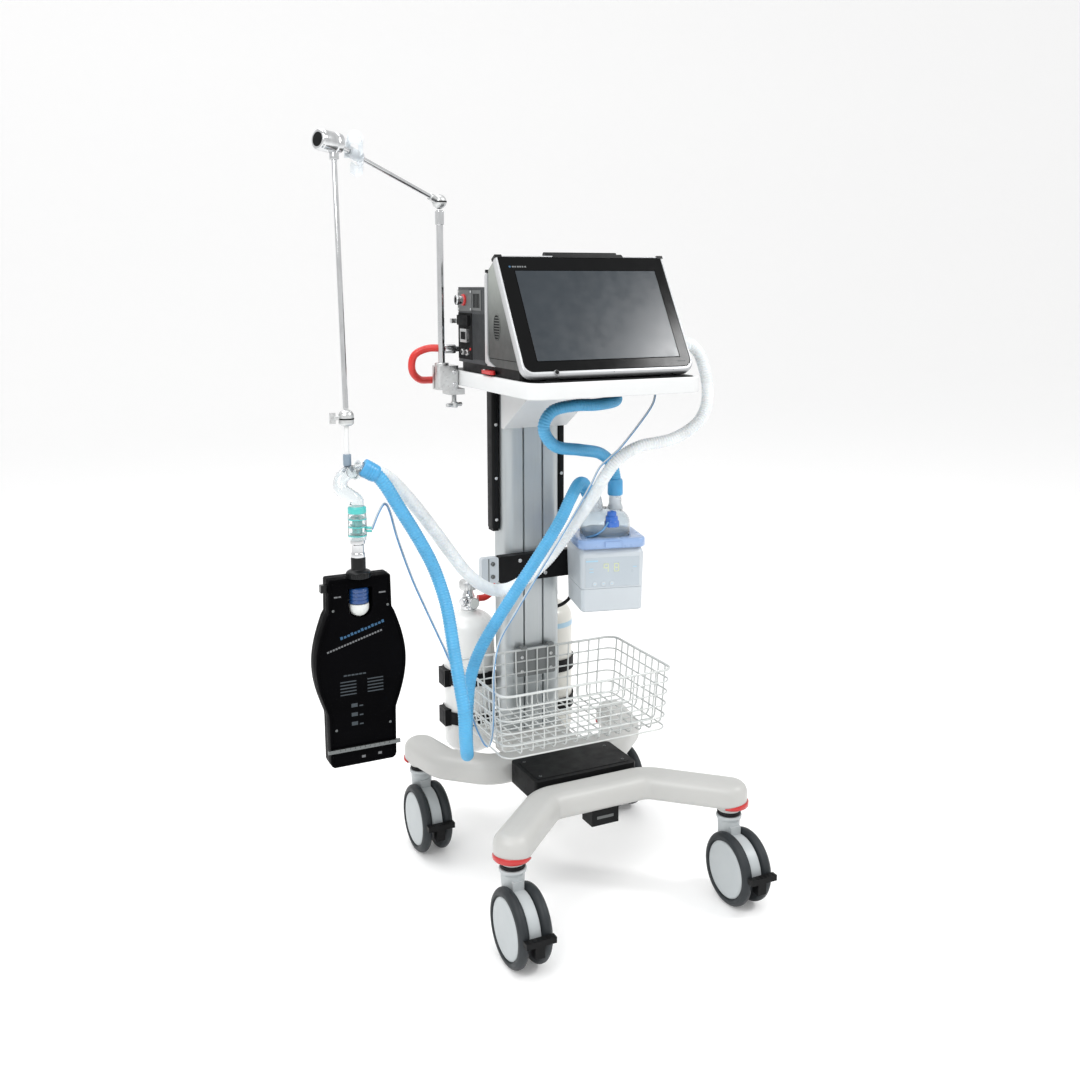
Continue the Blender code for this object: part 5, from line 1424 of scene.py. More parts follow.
def build_connectors(mats):
    """Gas inlet, expiratory port, outlet of the blue hose and elbow of the red hose."""
    x = -UNIT_HALF
    inlet = rod((x + 0.002, 0.0900, 1.0290), (x - 0.0140, 0.0900, 1.0290), 0.0072, 32, 0.0010)
    lip = rod((x - 0.0105, 0.0900, 1.0290), (x - 0.0155, 0.0900, 1.0290), 0.0086, 32, 0.0012)
    bore = rod((x - 0.0150, 0.0900, 1.0290), (x - 0.0157, 0.0900, 1.0290), 0.0045, 24)
    band = rod((x + 0.001, 0.0900, 1.0290), (x - 0.0034, 0.0900, 1.0290), 0.0100, 32, 0.0010)
    piece("gas_inlet", merged((inlet, 0), (lip, 0), (bore, 1), (band, 2)),
          [mats["chrome"], mats["vent_dark"], mats["red"]])
    elbow = smooth_route([(-0.1360, MODULE_BACK - 0.001, 0.9430), (-0.1370, MODULE_BACK + 0.006, 0.9430),
                          (-0.1440, MODULE_BACK + 0.0118, 0.9430), (-0.1560, MODULE_BACK + 0.0124, 0.9430),
                          (-0.1700, 0.1340, 0.9430)], 0.002)
    nut = lathe([(0.0100, 0.0), (0.0100, 0.0070)], 6)
    nut.transform(toward((-0.1360, MODULE_BACK + 0.0002, 0.9430), (-0.1360, MODULE_BACK + 0.02, 0.9430)))
    cuff = rod((-0.1560, 0.1339, 0.9430), (-0.1760, 0.1356, 0.9432), 0.0082, 28, 0.0012)
    piece("gas_elbow", merged((sweep(elbow, 0.0052, 16), 0), (nut, 0), (cuff, 0)), [mats["chrome"]])
    port = [(0.0040, 0.1555), (0.0165, 0.1555), (0.0165, 0.1605), (0.0150, 0.1620), (0.0150, 0.1800),
            (0.0128, 0.1830), (0.0128, 0.1925), (0.0100, 0.1925)]
    ring = lathe(fillet([(0.0140, 0.1640), (0.0156, 0.1640), (0.0156, 0.1668), (0.0140, 0.1668)], 0.0004),
                 40, "X", EXHALE_AXIS)
    cuff = lathe(fillet([(0.0100, 0.1850), (0.0134, 0.1850), (0.0140, 0.1880), (0.0136, 0.2010),
                         (0.0118, 0.2040), (0.0100, 0.2040)], 0.0008), 40, "X", EXHALE_AXIS)
    piece("exhale_port", merged((lathe(fillet(port, 0.0010), 40, "X", EXHALE_AXIS), 0), (ring, 1),
                                (cuff, 2)), [mats["black"], mats["print_grey"], mats["hose_cuff"]],
          replaces=["expiratory_port"])
    outlet = [(0.0040, MODULE_BACK - 0.001), (0.0170, MODULE_BACK - 0.001), (0.0170, MODULE_BACK + 0.0030),
              (0.0132, MODULE_BACK + 0.0050), (0.0132, MODULE_BACK + 0.0160), (0.0040, MODULE_BACK + 0.0160)]
    cuff = [(0.0100, MODULE_BACK + 0.0080), (0.0142, MODULE_BACK + 0.0080), (0.0142, MODULE_BACK + 0.0280),
            (0.0124, MODULE_BACK + 0.0320), (0.0100, MODULE_BACK + 0.0320)]
    piece("inhale_port", merged((lathe(fillet(outlet, 0.0010), 40, "Y", (0.0950, 0, 0.9650)), 0),
                                (lathe(fillet(cuff, 0.0010), 40, "Y", (0.0950, 0, 0.9645)), 1)),
          [mats["panel_grey"], mats["blue_cuff"]])
    hub = lathe(fillet([(0.001, 0.1212), (0.0090, 0.1212), (0.0090, 0.1290), (0.0060, 0.1300),
                        (0.0060, 0.1370), (0.001, 0.1370)], 0.0008), 32, "Y", (-0.1460, 0, 0.9920))
    wing = soft_block((-0.1640, 0.1288, 0.9880), (-0.1420, 0.1372, 0.9960), 0.0020, 3)
    piece("latch_wing", merged(hub, wing), mats["cast_silver"], "module_latch", ["module_latch"])


# ---------------------------------------------------------------- humidifier

HUMIDIFIER_PLACE = Matrix.Translation(HUMIDIFIER_FRONT) @ Matrix.Rotation(HUMIDIFIER_TURN, 4, "Z")
CHAMBER_FOOT = 0.1228
CHAMBER_CENTRE = (0, 0.0560, 0)
FEED_PORT = (0.0200, 0.0580, 0)


def tapered_box(levels, corner, steps=6):
    """Stack of rounded plan rectangles from (half width, front, back, height) levels."""
    return loft([[Vector((x, y, z)) for x, y in rectangle(-half, half, front, back, corner, steps)]
                 for half, front, back, z in levels])


def build_humidifier(mats):
    """Box with a bevelled top, front display and keys, a guard rim and the seat of the chamber."""
    half = HUMIDIFIER_WIDTH / 2
    deep = HUMIDIFIER_DEPTH
    tall = HUMIDIFIER_HEIGHT
    box = tapered_box([(half - 0.0050, 0.0020, deep - 0.002, 0.0), (half - 0.0030, 0.0002, deep, 0.0020),
                       (half - 0.0026, 0.0, deep, 0.0260), (half - 0.0023, 0.0, deep, 0.0418),
                       (half - 0.0033, 0.0010, deep - 0.001, 0.0422),
                       (half - 0.0033, 0.0010, deep - 0.001, 0.0432), (half - 0.0022, 0.0, deep, 0.0436),
                       (half - 0.0004, 0.0, deep, tall - 0.0120),
                       (half - 0.0010, 0.0008, deep, tall - 0.0100),
                       (half - 0.0040, 0.0060, deep - 0.003, tall - 0.0010),
                       (half - 0.0060, 0.0080, deep - 0.005, tall)], 0.008)
    parts = [(box, 0)]
    front = soft_block((-0.0500, -0.0006, 0.0460), (0.0500, 0.0020, 0.1000), 0.0005)
    parts.append((front, 1))
    for x, shown in ((-0.0165, "abcfg"), (0.0030, "abcdefg")):
        parts += [(segment, 2) for segment in digit(x, -0.0009, 0.0735, 0.0090, 0.0150, shown)]
    parts.append((soft_block((-0.0495, -0.0009, 0.0925), (-0.0270, 0.0004, 0.0955), 0.0), 3))
    for x, z in ((-0.0430, 0.0790), (-0.0430, 0.0730), (0.0380, 0.0800)):
        parts.append((soft_block((x, -0.0009, z), (x + 0.0075, 0.0004, z + 0.0018), 0.0), 4))
    for i in range(3):
        key = lathe(fillet([(0.0008, 0.0), (0.0042, 0.0), (0.0042, 0.0009), (0.0008, 0.0012)], 0.0003), 24)
        key.transform(Matrix.Translation(Vector((-0.0330 + i * 0.0160, -0.0005,
                                                 0.0520))) @ Matrix.Rotation(pi / 2, 4, "X"))
        parts.append((key, 0))
        parts.append((soft_block((-0.0348 + i * 0.0160, -0.0018, 0.0514),
                                 (-0.0312 + i * 0.0160, -0.0008, 0.0526), 0.0), 4))
    piece("heater_box", merged(*parts),
          [mats["panel_grey"], mats["panel_front"], mats["digits"], mats["label_blue"], mats["label_blue"]],
          replaces=["humidifier_base"], smooth=35, turn=HUMIDIFIER_PLACE)
    build_guard(mats)
    build_chamber(mats)


def digit(x, y, z, width, height, lit):
    """Seven-segment figure made of thin bars."""
    t = 0.0012
    middle = z + height / 2
    bars = {"a": (x, z + height - t, width, t), "d": (x, z, width, t), "g": (x, middle - t / 2, width, t),
            "b": (x + width - t, middle, t, height / 2), "c": (x + width - t, z, t, height / 2),
            "f": (x, middle, t, height / 2), "e": (x, z, t, height / 2)}
    return [soft_block((bars[k][0], y, bars[k][1]),
                       (bars[k][0] + bars[k][2], y + 0.0004, bars[k][1] + bars[k][3]), 0.0) for k in lit]


def build_guard(mats):
    """Coloured rim round the chamber's foot, with the spring lock in front."""
    low = HUMIDIFIER_HEIGHT + GAP
    high = low + 0.0170
    half = 0.0630
    front = -0.0040
    back = 0.1080
    outer = [(0.0022, low), (0.0, low + 0.0022), (0.0, high - 0.0030), (0.0010, high - 0.0008),
             (0.0030, high)]
    rings = [[Vector((x, y, z)) for x,
              y in rectangle(-half + inset, half - inset, front + inset, back - inset, 0.016 - inset, 10)]
             for inset, z in outer]
    seat_at = Vector((0, 0.056, 0))
    rim = rings[-1]
    for radius, z in ((0.0496, high), (0.0483, high - 0.0012), (0.0482, low + 0.0050)):
        rings.append([seat_at + Vector((p.x, p.y - seat_at.y, 0)).normalized() * radius + Vector((0, 0, z))
                      for p in rim])
    seat = lathe([(0.0479, low + 0.0010), (0.0479, low + 0.0056), (0.0440, low + 0.0060)], 64, "Z",
                 (0, 0.056, 0))
    lock = soft_block((-0.0150, front - 0.0030, low + 0.0030), (0.0150, front + 0.0030, high - 0.0040),
                      0.0016)
    piece("guard_rim", merged((loft(rings), 0), (seat, 1), (lock, 0)), [mats["lilac"], mats["cast_silver"]],
          replaces=["chamber_guard"], smooth=45, turn=HUMIDIFIER_PLACE)


def build_chamber(mats):
    """Clear dome on a metal foot, with the water inside, two ports and the blue filling cap."""
    foot = CHAMBER_FOOT
    top = foot + 0.0560
    outer = [(0.0472, foot), (0.0472, foot + 0.0050), (0.0462, foot + 0.0060), (0.0460, foot + 0.0260)]
    for angle in range(10, 81, 10):
        turn = radians(angle)
        outer.append((0.0180 + 0.0280 * cos(turn), foot + 0.0300 + 0.0250 * sin(turn)))
    outer += [(0.0190, top), (0.0050, top)]
    inner = [(max(radius - 0.0018, 0.0030), height - 0.0018) for radius, height in reversed(outer[3:])]
    dome = turned_ring(outer + inner + [(0.0450, foot + 0.0050), (0.0450, foot)], 64, "Z", CHAMBER_CENTRE)
    pieces = [(dome, 0)]
    pieces.append((lathe(fillet([(0.030, foot + 0.0058), (0.0466, foot + 0.0058), (0.0470, foot + 0.0070),
                                 (0.0460, foot + 0.0084)], 0.0004), 64, "Z", CHAMBER_CENTRE), 1))
    piece("dome", merged(*pieces), [mats["clear_smoke"], mats["line_blue"]], replaces=["water_chamber"],
          smooth=45, turn=HUMIDIFIER_PLACE)
    plate = lathe(fillet([(0.003, foot + 0.0004), (0.0468, foot + 0.0004), (0.0468, foot + 0.0030),
                          (0.003, foot + 0.0030)], 0.0008), 48, "Z", CHAMBER_CENTRE)
    fill = lathe(fillet([(0.003, foot + 0.0032), (0.0445, foot + 0.0032), (0.0445, foot + 0.0180),
                         (0.003, foot + 0.0180)], 0.0006), 48, "Z", CHAMBER_CENTRE)
    piece("chamber_inside", merged((plate, 0), (fill, 1)), [mats["cast_silver"], mats["water"]],
          turn=HUMIDIFIER_PLACE)
    port = [(0.0095, top - 0.004), (0.0150, top - 0.002), (0.0130, top + 0.004), (0.0115, top + 0.008),
            (0.0115, foot + 0.083), (0.0095, foot + 0.083)]
    ports = [(turned_ring(port, 40, "Z", FEED_PORT), 0)]
    route = smooth_route([(-0.0180, 0.0480, top - 0.002), (-0.0185, 0.0475, foot + 0.0660),
                          (-0.0215, 0.0440, foot + 0.0760), (-0.0280, 0.0370, foot + 0.0830),
                          (-0.0360, 0.0270, foot + 0.0860)], 0.002)
    ports.append((thick_tube(route, 0.0115, 0.0018), 0))
    piece("chamber_ports", merged(*ports), mats["clear_milky"], smooth=50, turn=HUMIDIFIER_PLACE)
    cap_at = (0.0030, 0.0180, 0.0)
    base = foot + 0.0300
    cap = lathe(fillet([(0.003, base), (0.0135, base), (0.0135, base + 0.009), (0.0115, base + 0.011),
                        (0.0115, base + 0.018), (0.0085, base + 0.020), (0.0085, base + 0.0270),
                        (0.0020, base + 0.0290)], 0.0010), 40, "Z", cap_at)
    line = smooth_route([(-0.0475, 0.0430, foot + 0.004), (-0.0430, 0.0260, foot + 0.010),
                         (-0.0310, 0.0120, foot + 0.016), (-0.0170, 0.0060, foot + 0.026),
                         (-0.0060, 0.0080, foot + 0.040)], 0.003)
    piece("filling_cap", merged((cap, 0), (sweep(line, 0.0016, 10), 1)),
          [mats["cap_blue"], mats["line_blue"]], turn=HUMIDIFIER_PLACE)
    low_cuff = lathe(fillet([(0.0100, foot + 0.0800), (0.0136, foot + 0.0800), (0.0142, foot + 0.0840),
                             (0.0138, foot + 0.1060), (0.0122, foot + 0.1100), (0.0100, foot + 0.1100)],
                            0.0010), 40, "Z", FEED_PORT)
    piece("feed_cuff", low_cuff, mats["blue_cuff"], turn=HUMIDIFIER_PLACE)
    end = HUMIDIFIER_PLACE.inverted() @ Vector((0.0520, 0.0300, 0.6910))
    start = Vector((-0.0330, 0.0310, foot + 0.0850))
    cuff = lathe(fillet([(0.0100, 0.0), (0.0138, 0.0), (0.0142, 0.004), (0.0138, 0.018), (0.0122, 0.022),
                         (0.0100, 0.022)], 0.0010), 40)
    cuff.transform(toward(start, end))
    piece("patient_cuff", cuff, mats["blue_cuff"], turn=HUMIDIFIER_PLACE)


# ---------------------------------------------------------------- support arm

def build_arm_clamp(mats):
    outer = -TRAY_HALF - GAP
    body = prism(rectangle(outer - 0.0400, outer, POST.y - 0.016, POST.y + 0.016, 0.006), 0.8735, 0.9150,
                 "Z", 0.0024, 3)
    jaw = soft_block((outer - 0.0200, POST.y - 0.0158, 0.8642), (outer + 0.0098, POST.y + 0.0158, 0.8745),
                     0.0020, 3)
    collar = lathe(fillet([(0.0064, 0.9140), (0.0125, 0.9140), (0.0125, 0.9200), (0.0064, 0.9200)], 0.0014),
                   36, "Z", (POST.x, POST.y, 0))
    slot = soft_block((outer - 0.0404, POST.y - 0.0008, 0.8760), (outer - 0.0396, POST.y + 0.0008, 0.9130),
                      0.0)
    screws = [(socket_screw((outer - 0.0100, POST.y - 0.0160, z), (0, -1, 0), 0.0036, 0.0022), 2)
              for z in (0.8830, 0.9040)]
    piece("arm_clamp", merged((body, 0), (jaw, 0), (collar, 0), (slot, 1), *screws),
          [mats["cast_silver"], mats["vent_dark"], mats["chrome"]], replaces=["rail_clamp"], smooth=40)
    head = Vector((outer - 0.006, POST.y - 0.004, 0.8636))
    foot = head - Vector((0, 0, 0.0180))
    half_bar = Vector((0.016, 0.006, 0))
    thread = [(0.0010, 0.0)]
    for i in range(14):
        thread += [(0.0045, 0.0006 + i * 0.0012), (0.0039, 0.0012 + i * 0.0012)]
    screw = lathe(thread, 24)
    screw.transform(toward(head - Vector((0, 0, 0.0002)), foot))
    bar = rod(foot - half_bar, foot + half_bar, 0.0036, 24, 0.0016)
    hub = rod(foot + Vector((0, 0, 0.0052)), foot - Vector((0, 0, 0.0052)), 0.0062, 28, 0.0014)
    piece("clamp_handle", merged(screw, bar, hub), mats["cast_silver"], "clamp_screw", ["clamp_screw"])


def build_arm(mats):
    build_arm_clamp(mats)
    post = lathe(fillet([(0.001, 0.8810), (0.0060, 0.8810), (0.0060, 1.1812), (0.001, 1.1812)], 0.0008), 32,
                 "Z", (POST.x, POST.y, 0))
    sleeve = lathe(fillet([(0.0058, 1.1560), (0.0078, 1.1560), (0.0078, 1.1790), (0.0058, 1.1790)], 0.0008),
                   32, "Z", (POST.x, POST.y, 0))
    piece("post", merged(post, sleeve), mats["chrome"], "arm_post", ["arm_post"])
    ball = [(0.0010, -0.0124)]
    for angle in range(-70, 71, 10):
        ball.append((0.0125 * cos(radians(angle)), 0.0124 * sin(radians(angle))))
    ball.append((0.0010, 0.0124))
    along = (ARM_END - ELBOW).normalized()
    groove = lathe([(0.0125, -0.0012), (0.01285, -0.0008), (0.01285, 0.0008), (0.0125, 0.0012)], 40, "Z",
                   ELBOW)
    neck = rod(ELBOW + along * 0.0090, ELBOW + along * 0.0260, 0.0062, 28, 0.0012)
    bar = rod(ELBOW, ARM_END - along * 0.0190, 0.0042, 24, 0.0006)
    piece("elbow", merged((lathe(ball, 40, "Z", ELBOW), 0), (groove, 1), (neck, 0), (bar, 2)),
          [mats["cast_silver"], mats["vent_dark"], mats["chrome"]], "upper_rod", ["upper_rod"])
    build_rod_clip(along, mats)
    start = ARM_END + Vector((0.010, 0.004, -0.0015))
    end = ARM_END - Vector((0.028, 0.012, -0.003))
    length = (end - start).length
    barrel = lathe(fillet([(0.0030, 0.0), (0.0150, 0.0), (0.0165, 0.0016), (0.0165, 0.0100),
                           (0.0152, 0.0108), (0.0152, 0.0128), (0.0165, 0.0136), (0.0165, length - 0.0060),
                           (0.0156, length - 0.0050), (0.0156, length - 0.0012), (0.0140, length),
                           (0.0030, length)], 0.0006), 48)
    core = lathe([(0.0110, length - 0.0002), (0.0110, length + 0.0004), (0.0050, length + 0.0004)], 32)
    bands = [(barrel, 0), (core, 1)]
    for shape, _ in bands:
        shape.transform(toward(start, end))
    down = (LOWER_JOINT - ARM_END).normalized()
    fitting = rod(ARM_END + down * 0.0140, ARM_END + down * 0.0260, 0.0072, 28, 0.0012)
    long_rod = rod(ARM_END + down * 0.0150, LOWER_JOINT - down * 0.0135, 0.0042, 24, 0.0006)
    piece("drop_bar", merged(*bands, (fitting, 0), (long_rod, 0)), [mats["chrome"], mats["vent_dark"]],
          "drop_rod", ["drop_rod"])


def build_rod_clip(along, mats):
    """Clear clip that holds the lines on the end of the upper rod."""
    middle = ARM_END - along * 0.046
    side = Vector((0.893, -0.449, 0.0))
    up = Vector((0, 0, 1))
    turn = Matrix((side, along.cross(side).normalized() * -1, up)).transposed().to_4x4()
    turn.translation = middle
    ring = [(0.0046, -0.0130), (0.0085, -0.0130), (0.0090, -0.0110), (0.0090, 0.0110), (0.0085, 0.0130),
            (0.0046, 0.0130)]
    sleeve = turned_ring(ring, 32)
    sleeve.transform(toward(middle - along * 0.001, middle + along * 0.010))
    jaw = smooth_route([(-0.0060, 0.0, 0.0070), (-0.0110, 0.0, 0.0180), (-0.0020, 0.0, 0.0270),
                        (0.0100, 0.0, 0.0230), (0.0130, 0.0, 0.0120), (0.0070, 0.0, 0.0050)], 0.002)
    hook = smooth_route([(0.0050, 0.0, -0.0060), (0.0120, 0.0, -0.0110), (0.0120, 0.0, -0.0210),
                         (0.0030, 0.0, -0.0250), (-0.0060, 0.0, -0.0190)], 0.002)
    bands = []
    for route, half in ((jaw, 0.0100), (hook, 0.0085)):
        rings = []
        for i, point in enumerate(route):
            ahead = (route[min(i + 1, len(route) - 1)] - route[max(i - 1, 0)]).normalized()
            out = Vector((-ahead.z, 0.0, ahead.x)) * 0.0011
            across = Vector((0, half, 0))
            rings.append([point + out + across, point + out - across, point - out - across,
                          point - out + across])
        band = loft(rings)
        band.transform(turn)
        bands.append(soften(band, 0.0004, 2, 50))
    fin = soft_block((-0.0160, -0.0016, -0.0040), (-0.0060, 0.0016, 0.0200), 0.0012)
    fin.transform(turn)
    piece("rod_clip", merged(sleeve, *bands, fin), mats["clear_milky"], "upper_rod", smooth=50)


# ---------------------------------------------------------------- patient side

def build_hanger(mats):
    """Lower joint with its wing screw, hanging rod, clip and the clear Y-piece."""
    joint = lathe(fillet([(0.0010, -0.0130), (0.0080, -0.0130), (0.0120, -0.0095), (0.0120, 0.0055),
                          (0.0090, 0.0100), (0.0045, 0.0126), (0.0010, 0.0126)], 0.0018), 36, "Z",
                  LOWER_JOINT)
    band = lathe([(0.0119, -0.0030), (0.01235, -0.0024), (0.01235, -0.0010), (0.0119, -0.0004)], 36, "Z",
                 LOWER_JOINT)
    screw = rod(LOWER_JOINT, LOWER_JOINT + Vector((-0.0200, 0, 0)), 0.0033, 20, 0.0006)
    wing = soft_block((LOWER_JOINT.x - 0.0260, LOWER_JOINT.y - 0.0016, LOWER_JOINT.z - 0.0085),
                      (LOWER_JOINT.x - 0.0170, LOWER_JOINT.y + 0.0016, LOWER_JOINT.z + 0.0085), 0.0014)
    clip_top = Vector((-0.4065, -0.0400, 0.7930))
    piece("lower_joint", merged((joint, 0), (screw, 0), (wing, 0), (band, 1)),
          [mats["cast_silver"], mats["vent_dark"]], "hanger", ["hanger"])
    stem = rod(LOWER_JOINT - Vector((0, 0, 0.0100)), clip_top, 0.0036, 24, 0.0006)
    piece("hanging_rod", stem, mats["white"], "hanger")
    clip = rod(clip_top + Vector((0, 0, 0.0030)), clip_top - Vector((0, 0, 0.0150)), 0.0064, 32, 0.0014)
    arms = [rod(clip_top + Vector((0, 0, -0.0120)), clip_top + Vector((dx, -0.0030, -0.0240)), 0.0028, 16,
                0.0008) for dx in (-0.0080, 0.0080)]
    piece("circuit_clip", merged(clip, *arms), mats["print_steel"], "hanger")
    build_y_piece(mats)


def thick_tube(points, outer, wall, sides=28):
    """Tube with a wall, so a clear piece shows its bore."""
    outside = sweep(points, outer, sides, False)
    inside = sweep(points, outer - wall, sides, False)
    bmesh.ops.reverse_faces(inside, faces=inside.faces)
    whole = merged(outside, inside)
    whole.verts.ensure_lookup_table()
    count = len(whole.verts) // 2
    for first in (0, count - sides):
        for i in range(sides):
            j = (i + 1) % sides
            whole.faces.new((whole.verts[first + i], whole.verts[first + j], whole.verts[count + first + j],
                             whole.verts[count + first + i]))
    return whole


def build_y_piece(mats):
    axis = CIRCUIT
    trunk = smooth_route([(-0.3900, -0.0440, 0.7660), (-0.4070, -0.0440, 0.7670), (-0.4190, -0.0470, 0.7580),
                          (-0.4210, -0.0530, 0.7440), (-0.4100, -0.0580, 0.7340), (-0.4000, -0.0600, 0.7260),
                          (-0.3990, -0.0600, 0.7175)], 0.0022)
    blue_end = Vector((-0.3790, -0.0510, 0.7720))
    white_end = Vector((-0.3790, -0.0250, 0.7690))
    fork = Vector((-0.4020, -0.0440, 0.7665))
    ports = []
    for end in (blue_end, white_end):
        reach = (end - fork).normalized()
        ports.append((thick_tube([fork + reach * 0.002, fork.lerp(end, 0.5), end], 0.0104, 0.0014), 0))
        ports.append((lathe_between(end - reach * 0.0040, end - reach * 0.0015, 0.0122), 1))
    piece("wye", merged((thick_tube(trunk, 0.0112, 0.0015), 0), *ports), [mats["clear"], mats["clear_smoke"]],
          "hanger", ["y_piece"], 60)
    for name, end, before, material in (("blue_end_cuff", blue_end, Vector((-0.3660, -0.0530, 0.7640)),
                                         "blue_cuff"),
                                        ("white_end_cuff", white_end, Vector((-0.3560, -0.0190, 0.7640)),
                                         "hose_cuff")):
        back = (before - end).normalized()
        profile = fillet([(0.0112, -0.0080), (0.0140, -0.0080), (0.0144, -0.0040), (0.0140, 0.0150),
                          (0.0124, 0.0190), (0.0112, 0.0190)], 0.0012)
        cuff = lathe(profile, 40)
        cuff.transform(toward(end, end + back))
        rings = []
        for i in range(3):
            bead = lathe([(0.0138, 0.0010 + i * 0.0045), (0.0148, 0.0018 + i * 0.0045),
                          (0.0138, 0.0026 + i * 0.0045)], 40)
            bead.transform(toward(end, end + back))
            rings.append(bead)
        piece(name, merged(cuff, *rings), mats[material], "hanger", smooth=50)
    build_sensor(axis, mats)


def lathe_between(start, end, radius):
    return rod(start, end, radius, 36, 0.0005)


def build_sensor(axis, mats):
    """Flow sensor: teal ring, clear body with a teal core, and a chromed neck down to the lung."""
    ring = lathe(fillet([(0.0100, 0.7060), (0.0143, 0.7060), (0.0143, 0.7150), (0.0124, 0.7168),
                         (0.0100, 0.7168)], 0.0010), 40, "Z", axis)
    body = [(0.0116, 0.6640), (0.0140, 0.6640), (0.0144, 0.6680), (0.0144, 0.7020), (0.0136, 0.7058),
            (0.0122, 0.7058), (0.0122, 0.6700), (0.0116, 0.6680)]
    core = lathe(fillet([(0.0030, 0.6720), (0.0080, 0.6740), (0.0080, 0.6950), (0.0030, 0.6990)], 0.0012),
                 32, "Z", axis)
    bands = [(lathe([(0.0143, z), (0.0147, z + 0.0004), (0.0147, z + 0.0014), (0.0143, z + 0.0018)], 40,
                    "Z", axis), 1) for z in (0.6700, 0.6840, 0.6960)]
    nipples = [(rod((axis.x + 0.0100, axis.y - 0.0040, z), (axis.x + 0.0200, axis.y - 0.0100, z), 0.0020,
                    16, 0.0004), 1) for z in (0.6775, 0.6825)]
    neck = lathe(fillet([(0.0040, 0.6360), (0.0108, 0.6360), (0.0108, 0.6420), (0.0096, 0.6440),
                         (0.0096, 0.6560), (0.0116, 0.6580), (0.0116, 0.6640), (0.0040, 0.6640)], 0.0010),
                 40, "Z", axis)
    piece("sensor", merged((ring, 1), (turned_ring(body, 40, "Z", axis), 0), (core, 1), *bands, *nipples,
                           (neck, 2)),
          [mats["clear"], mats["teal"], mats["chrome"]], "hanger", ["flow_sensor"], 45)


def offset_outline(outline, distance):
    """Move every point of a closed outline inwards."""
    points = [Vector(point) for point in outline]
    area = sum(a.x * b.y - b.x * a.y for a, b in zip(points, points[1:] + points[:1]))
    sign = 1 if area > 0 else -1
    moved = []
    for i, point in enumerate(points):
        ahead = (points[(i + 1) % len(points)] - point).normalized()
        behind = (point - points[i - 1]).normalized()
        normal = (Vector((-ahead.y, ahead.x)) + Vector((-behind.y, behind.x))).normalized() * sign
        moved.append(point + normal * distance)
    return moved


def lung_outline():
    right = [(0.0470, LUNG_TOP), (0.0490, LUNG_TOP - 0.0008), (0.0500, LUNG_TOP - 0.003), (0.0510, 0.5520)]
    for step in range(1, 24):
        angle = pi * step / 24
        right.append((0.0525 + 0.0205 * sin(angle), 0.5520 - 0.1720 * step / 24))
    right += [(0.0545, 0.3800), (0.0540, LUNG_FOOT + 0.0080), (0.0520, LUNG_FOOT + 0.0030),
              (0.0480, LUNG_FOOT)]
    return mirrored(right)


def cut_plate(outline, hole, front, back, floor, edge):
    """Plate that faces the front, with rounded edges and a blind window."""
    levels = [(edge, back), (edge * 0.3, back - edge * 0.3), (0.0, back - edge), (0.0, front + edge),
              (edge * 0.3, front + edge * 0.3), (edge, front)]
    rings = [[Vector((p.x, y, p.y)) for p in offset_outline(outline, inset)] for inset, y in levels]
    shape = loft(rings, False)
    count = len(outline)
    shape.verts.ensure_lookup_table()
    shape.faces.new([shape.verts[i] for i in reversed(range(count))])
    lip = [shape.verts[len(shape.verts) - count + i] for i in range(count)]
    window = [[shape.verts.new((p[0], y, p[1])) for p in hole] for y in (front, floor)]
    for i in range(len(hole)):
        j = (i + 1) % len(hole)
        shape.faces.new((window[0][i], window[0][j], window[1][j], window[1][i]))
    shape.faces.new(window[1])
    edges = [shape.edges.get((lip[i], lip[(i + 1) % count])) for i in range(count)]
    edges += [shape.edges.get((window[0][i], window[0][(i + 1) % len(hole)])) for i in range(len(hole))]
    bmesh.ops.triangle_fill(shape, edges=edges, use_beauty=True)
    return shape


def slanted(bars, origin, slope, front):
    """Print strokes along a rising line: (start, width, height) for each."""
    turn = Matrix.Translation(Vector((origin[0], front, origin[1]))) @ Matrix.Rotation(-slope, 4, "Y")
    made = []
    for start, width, height in bars:
        bar = soft_block((start, -0.00012, 0.0), (start + width, 0.0002, height), 0.0)
        bar.transform(turn)
        made.append(bar)
    return made


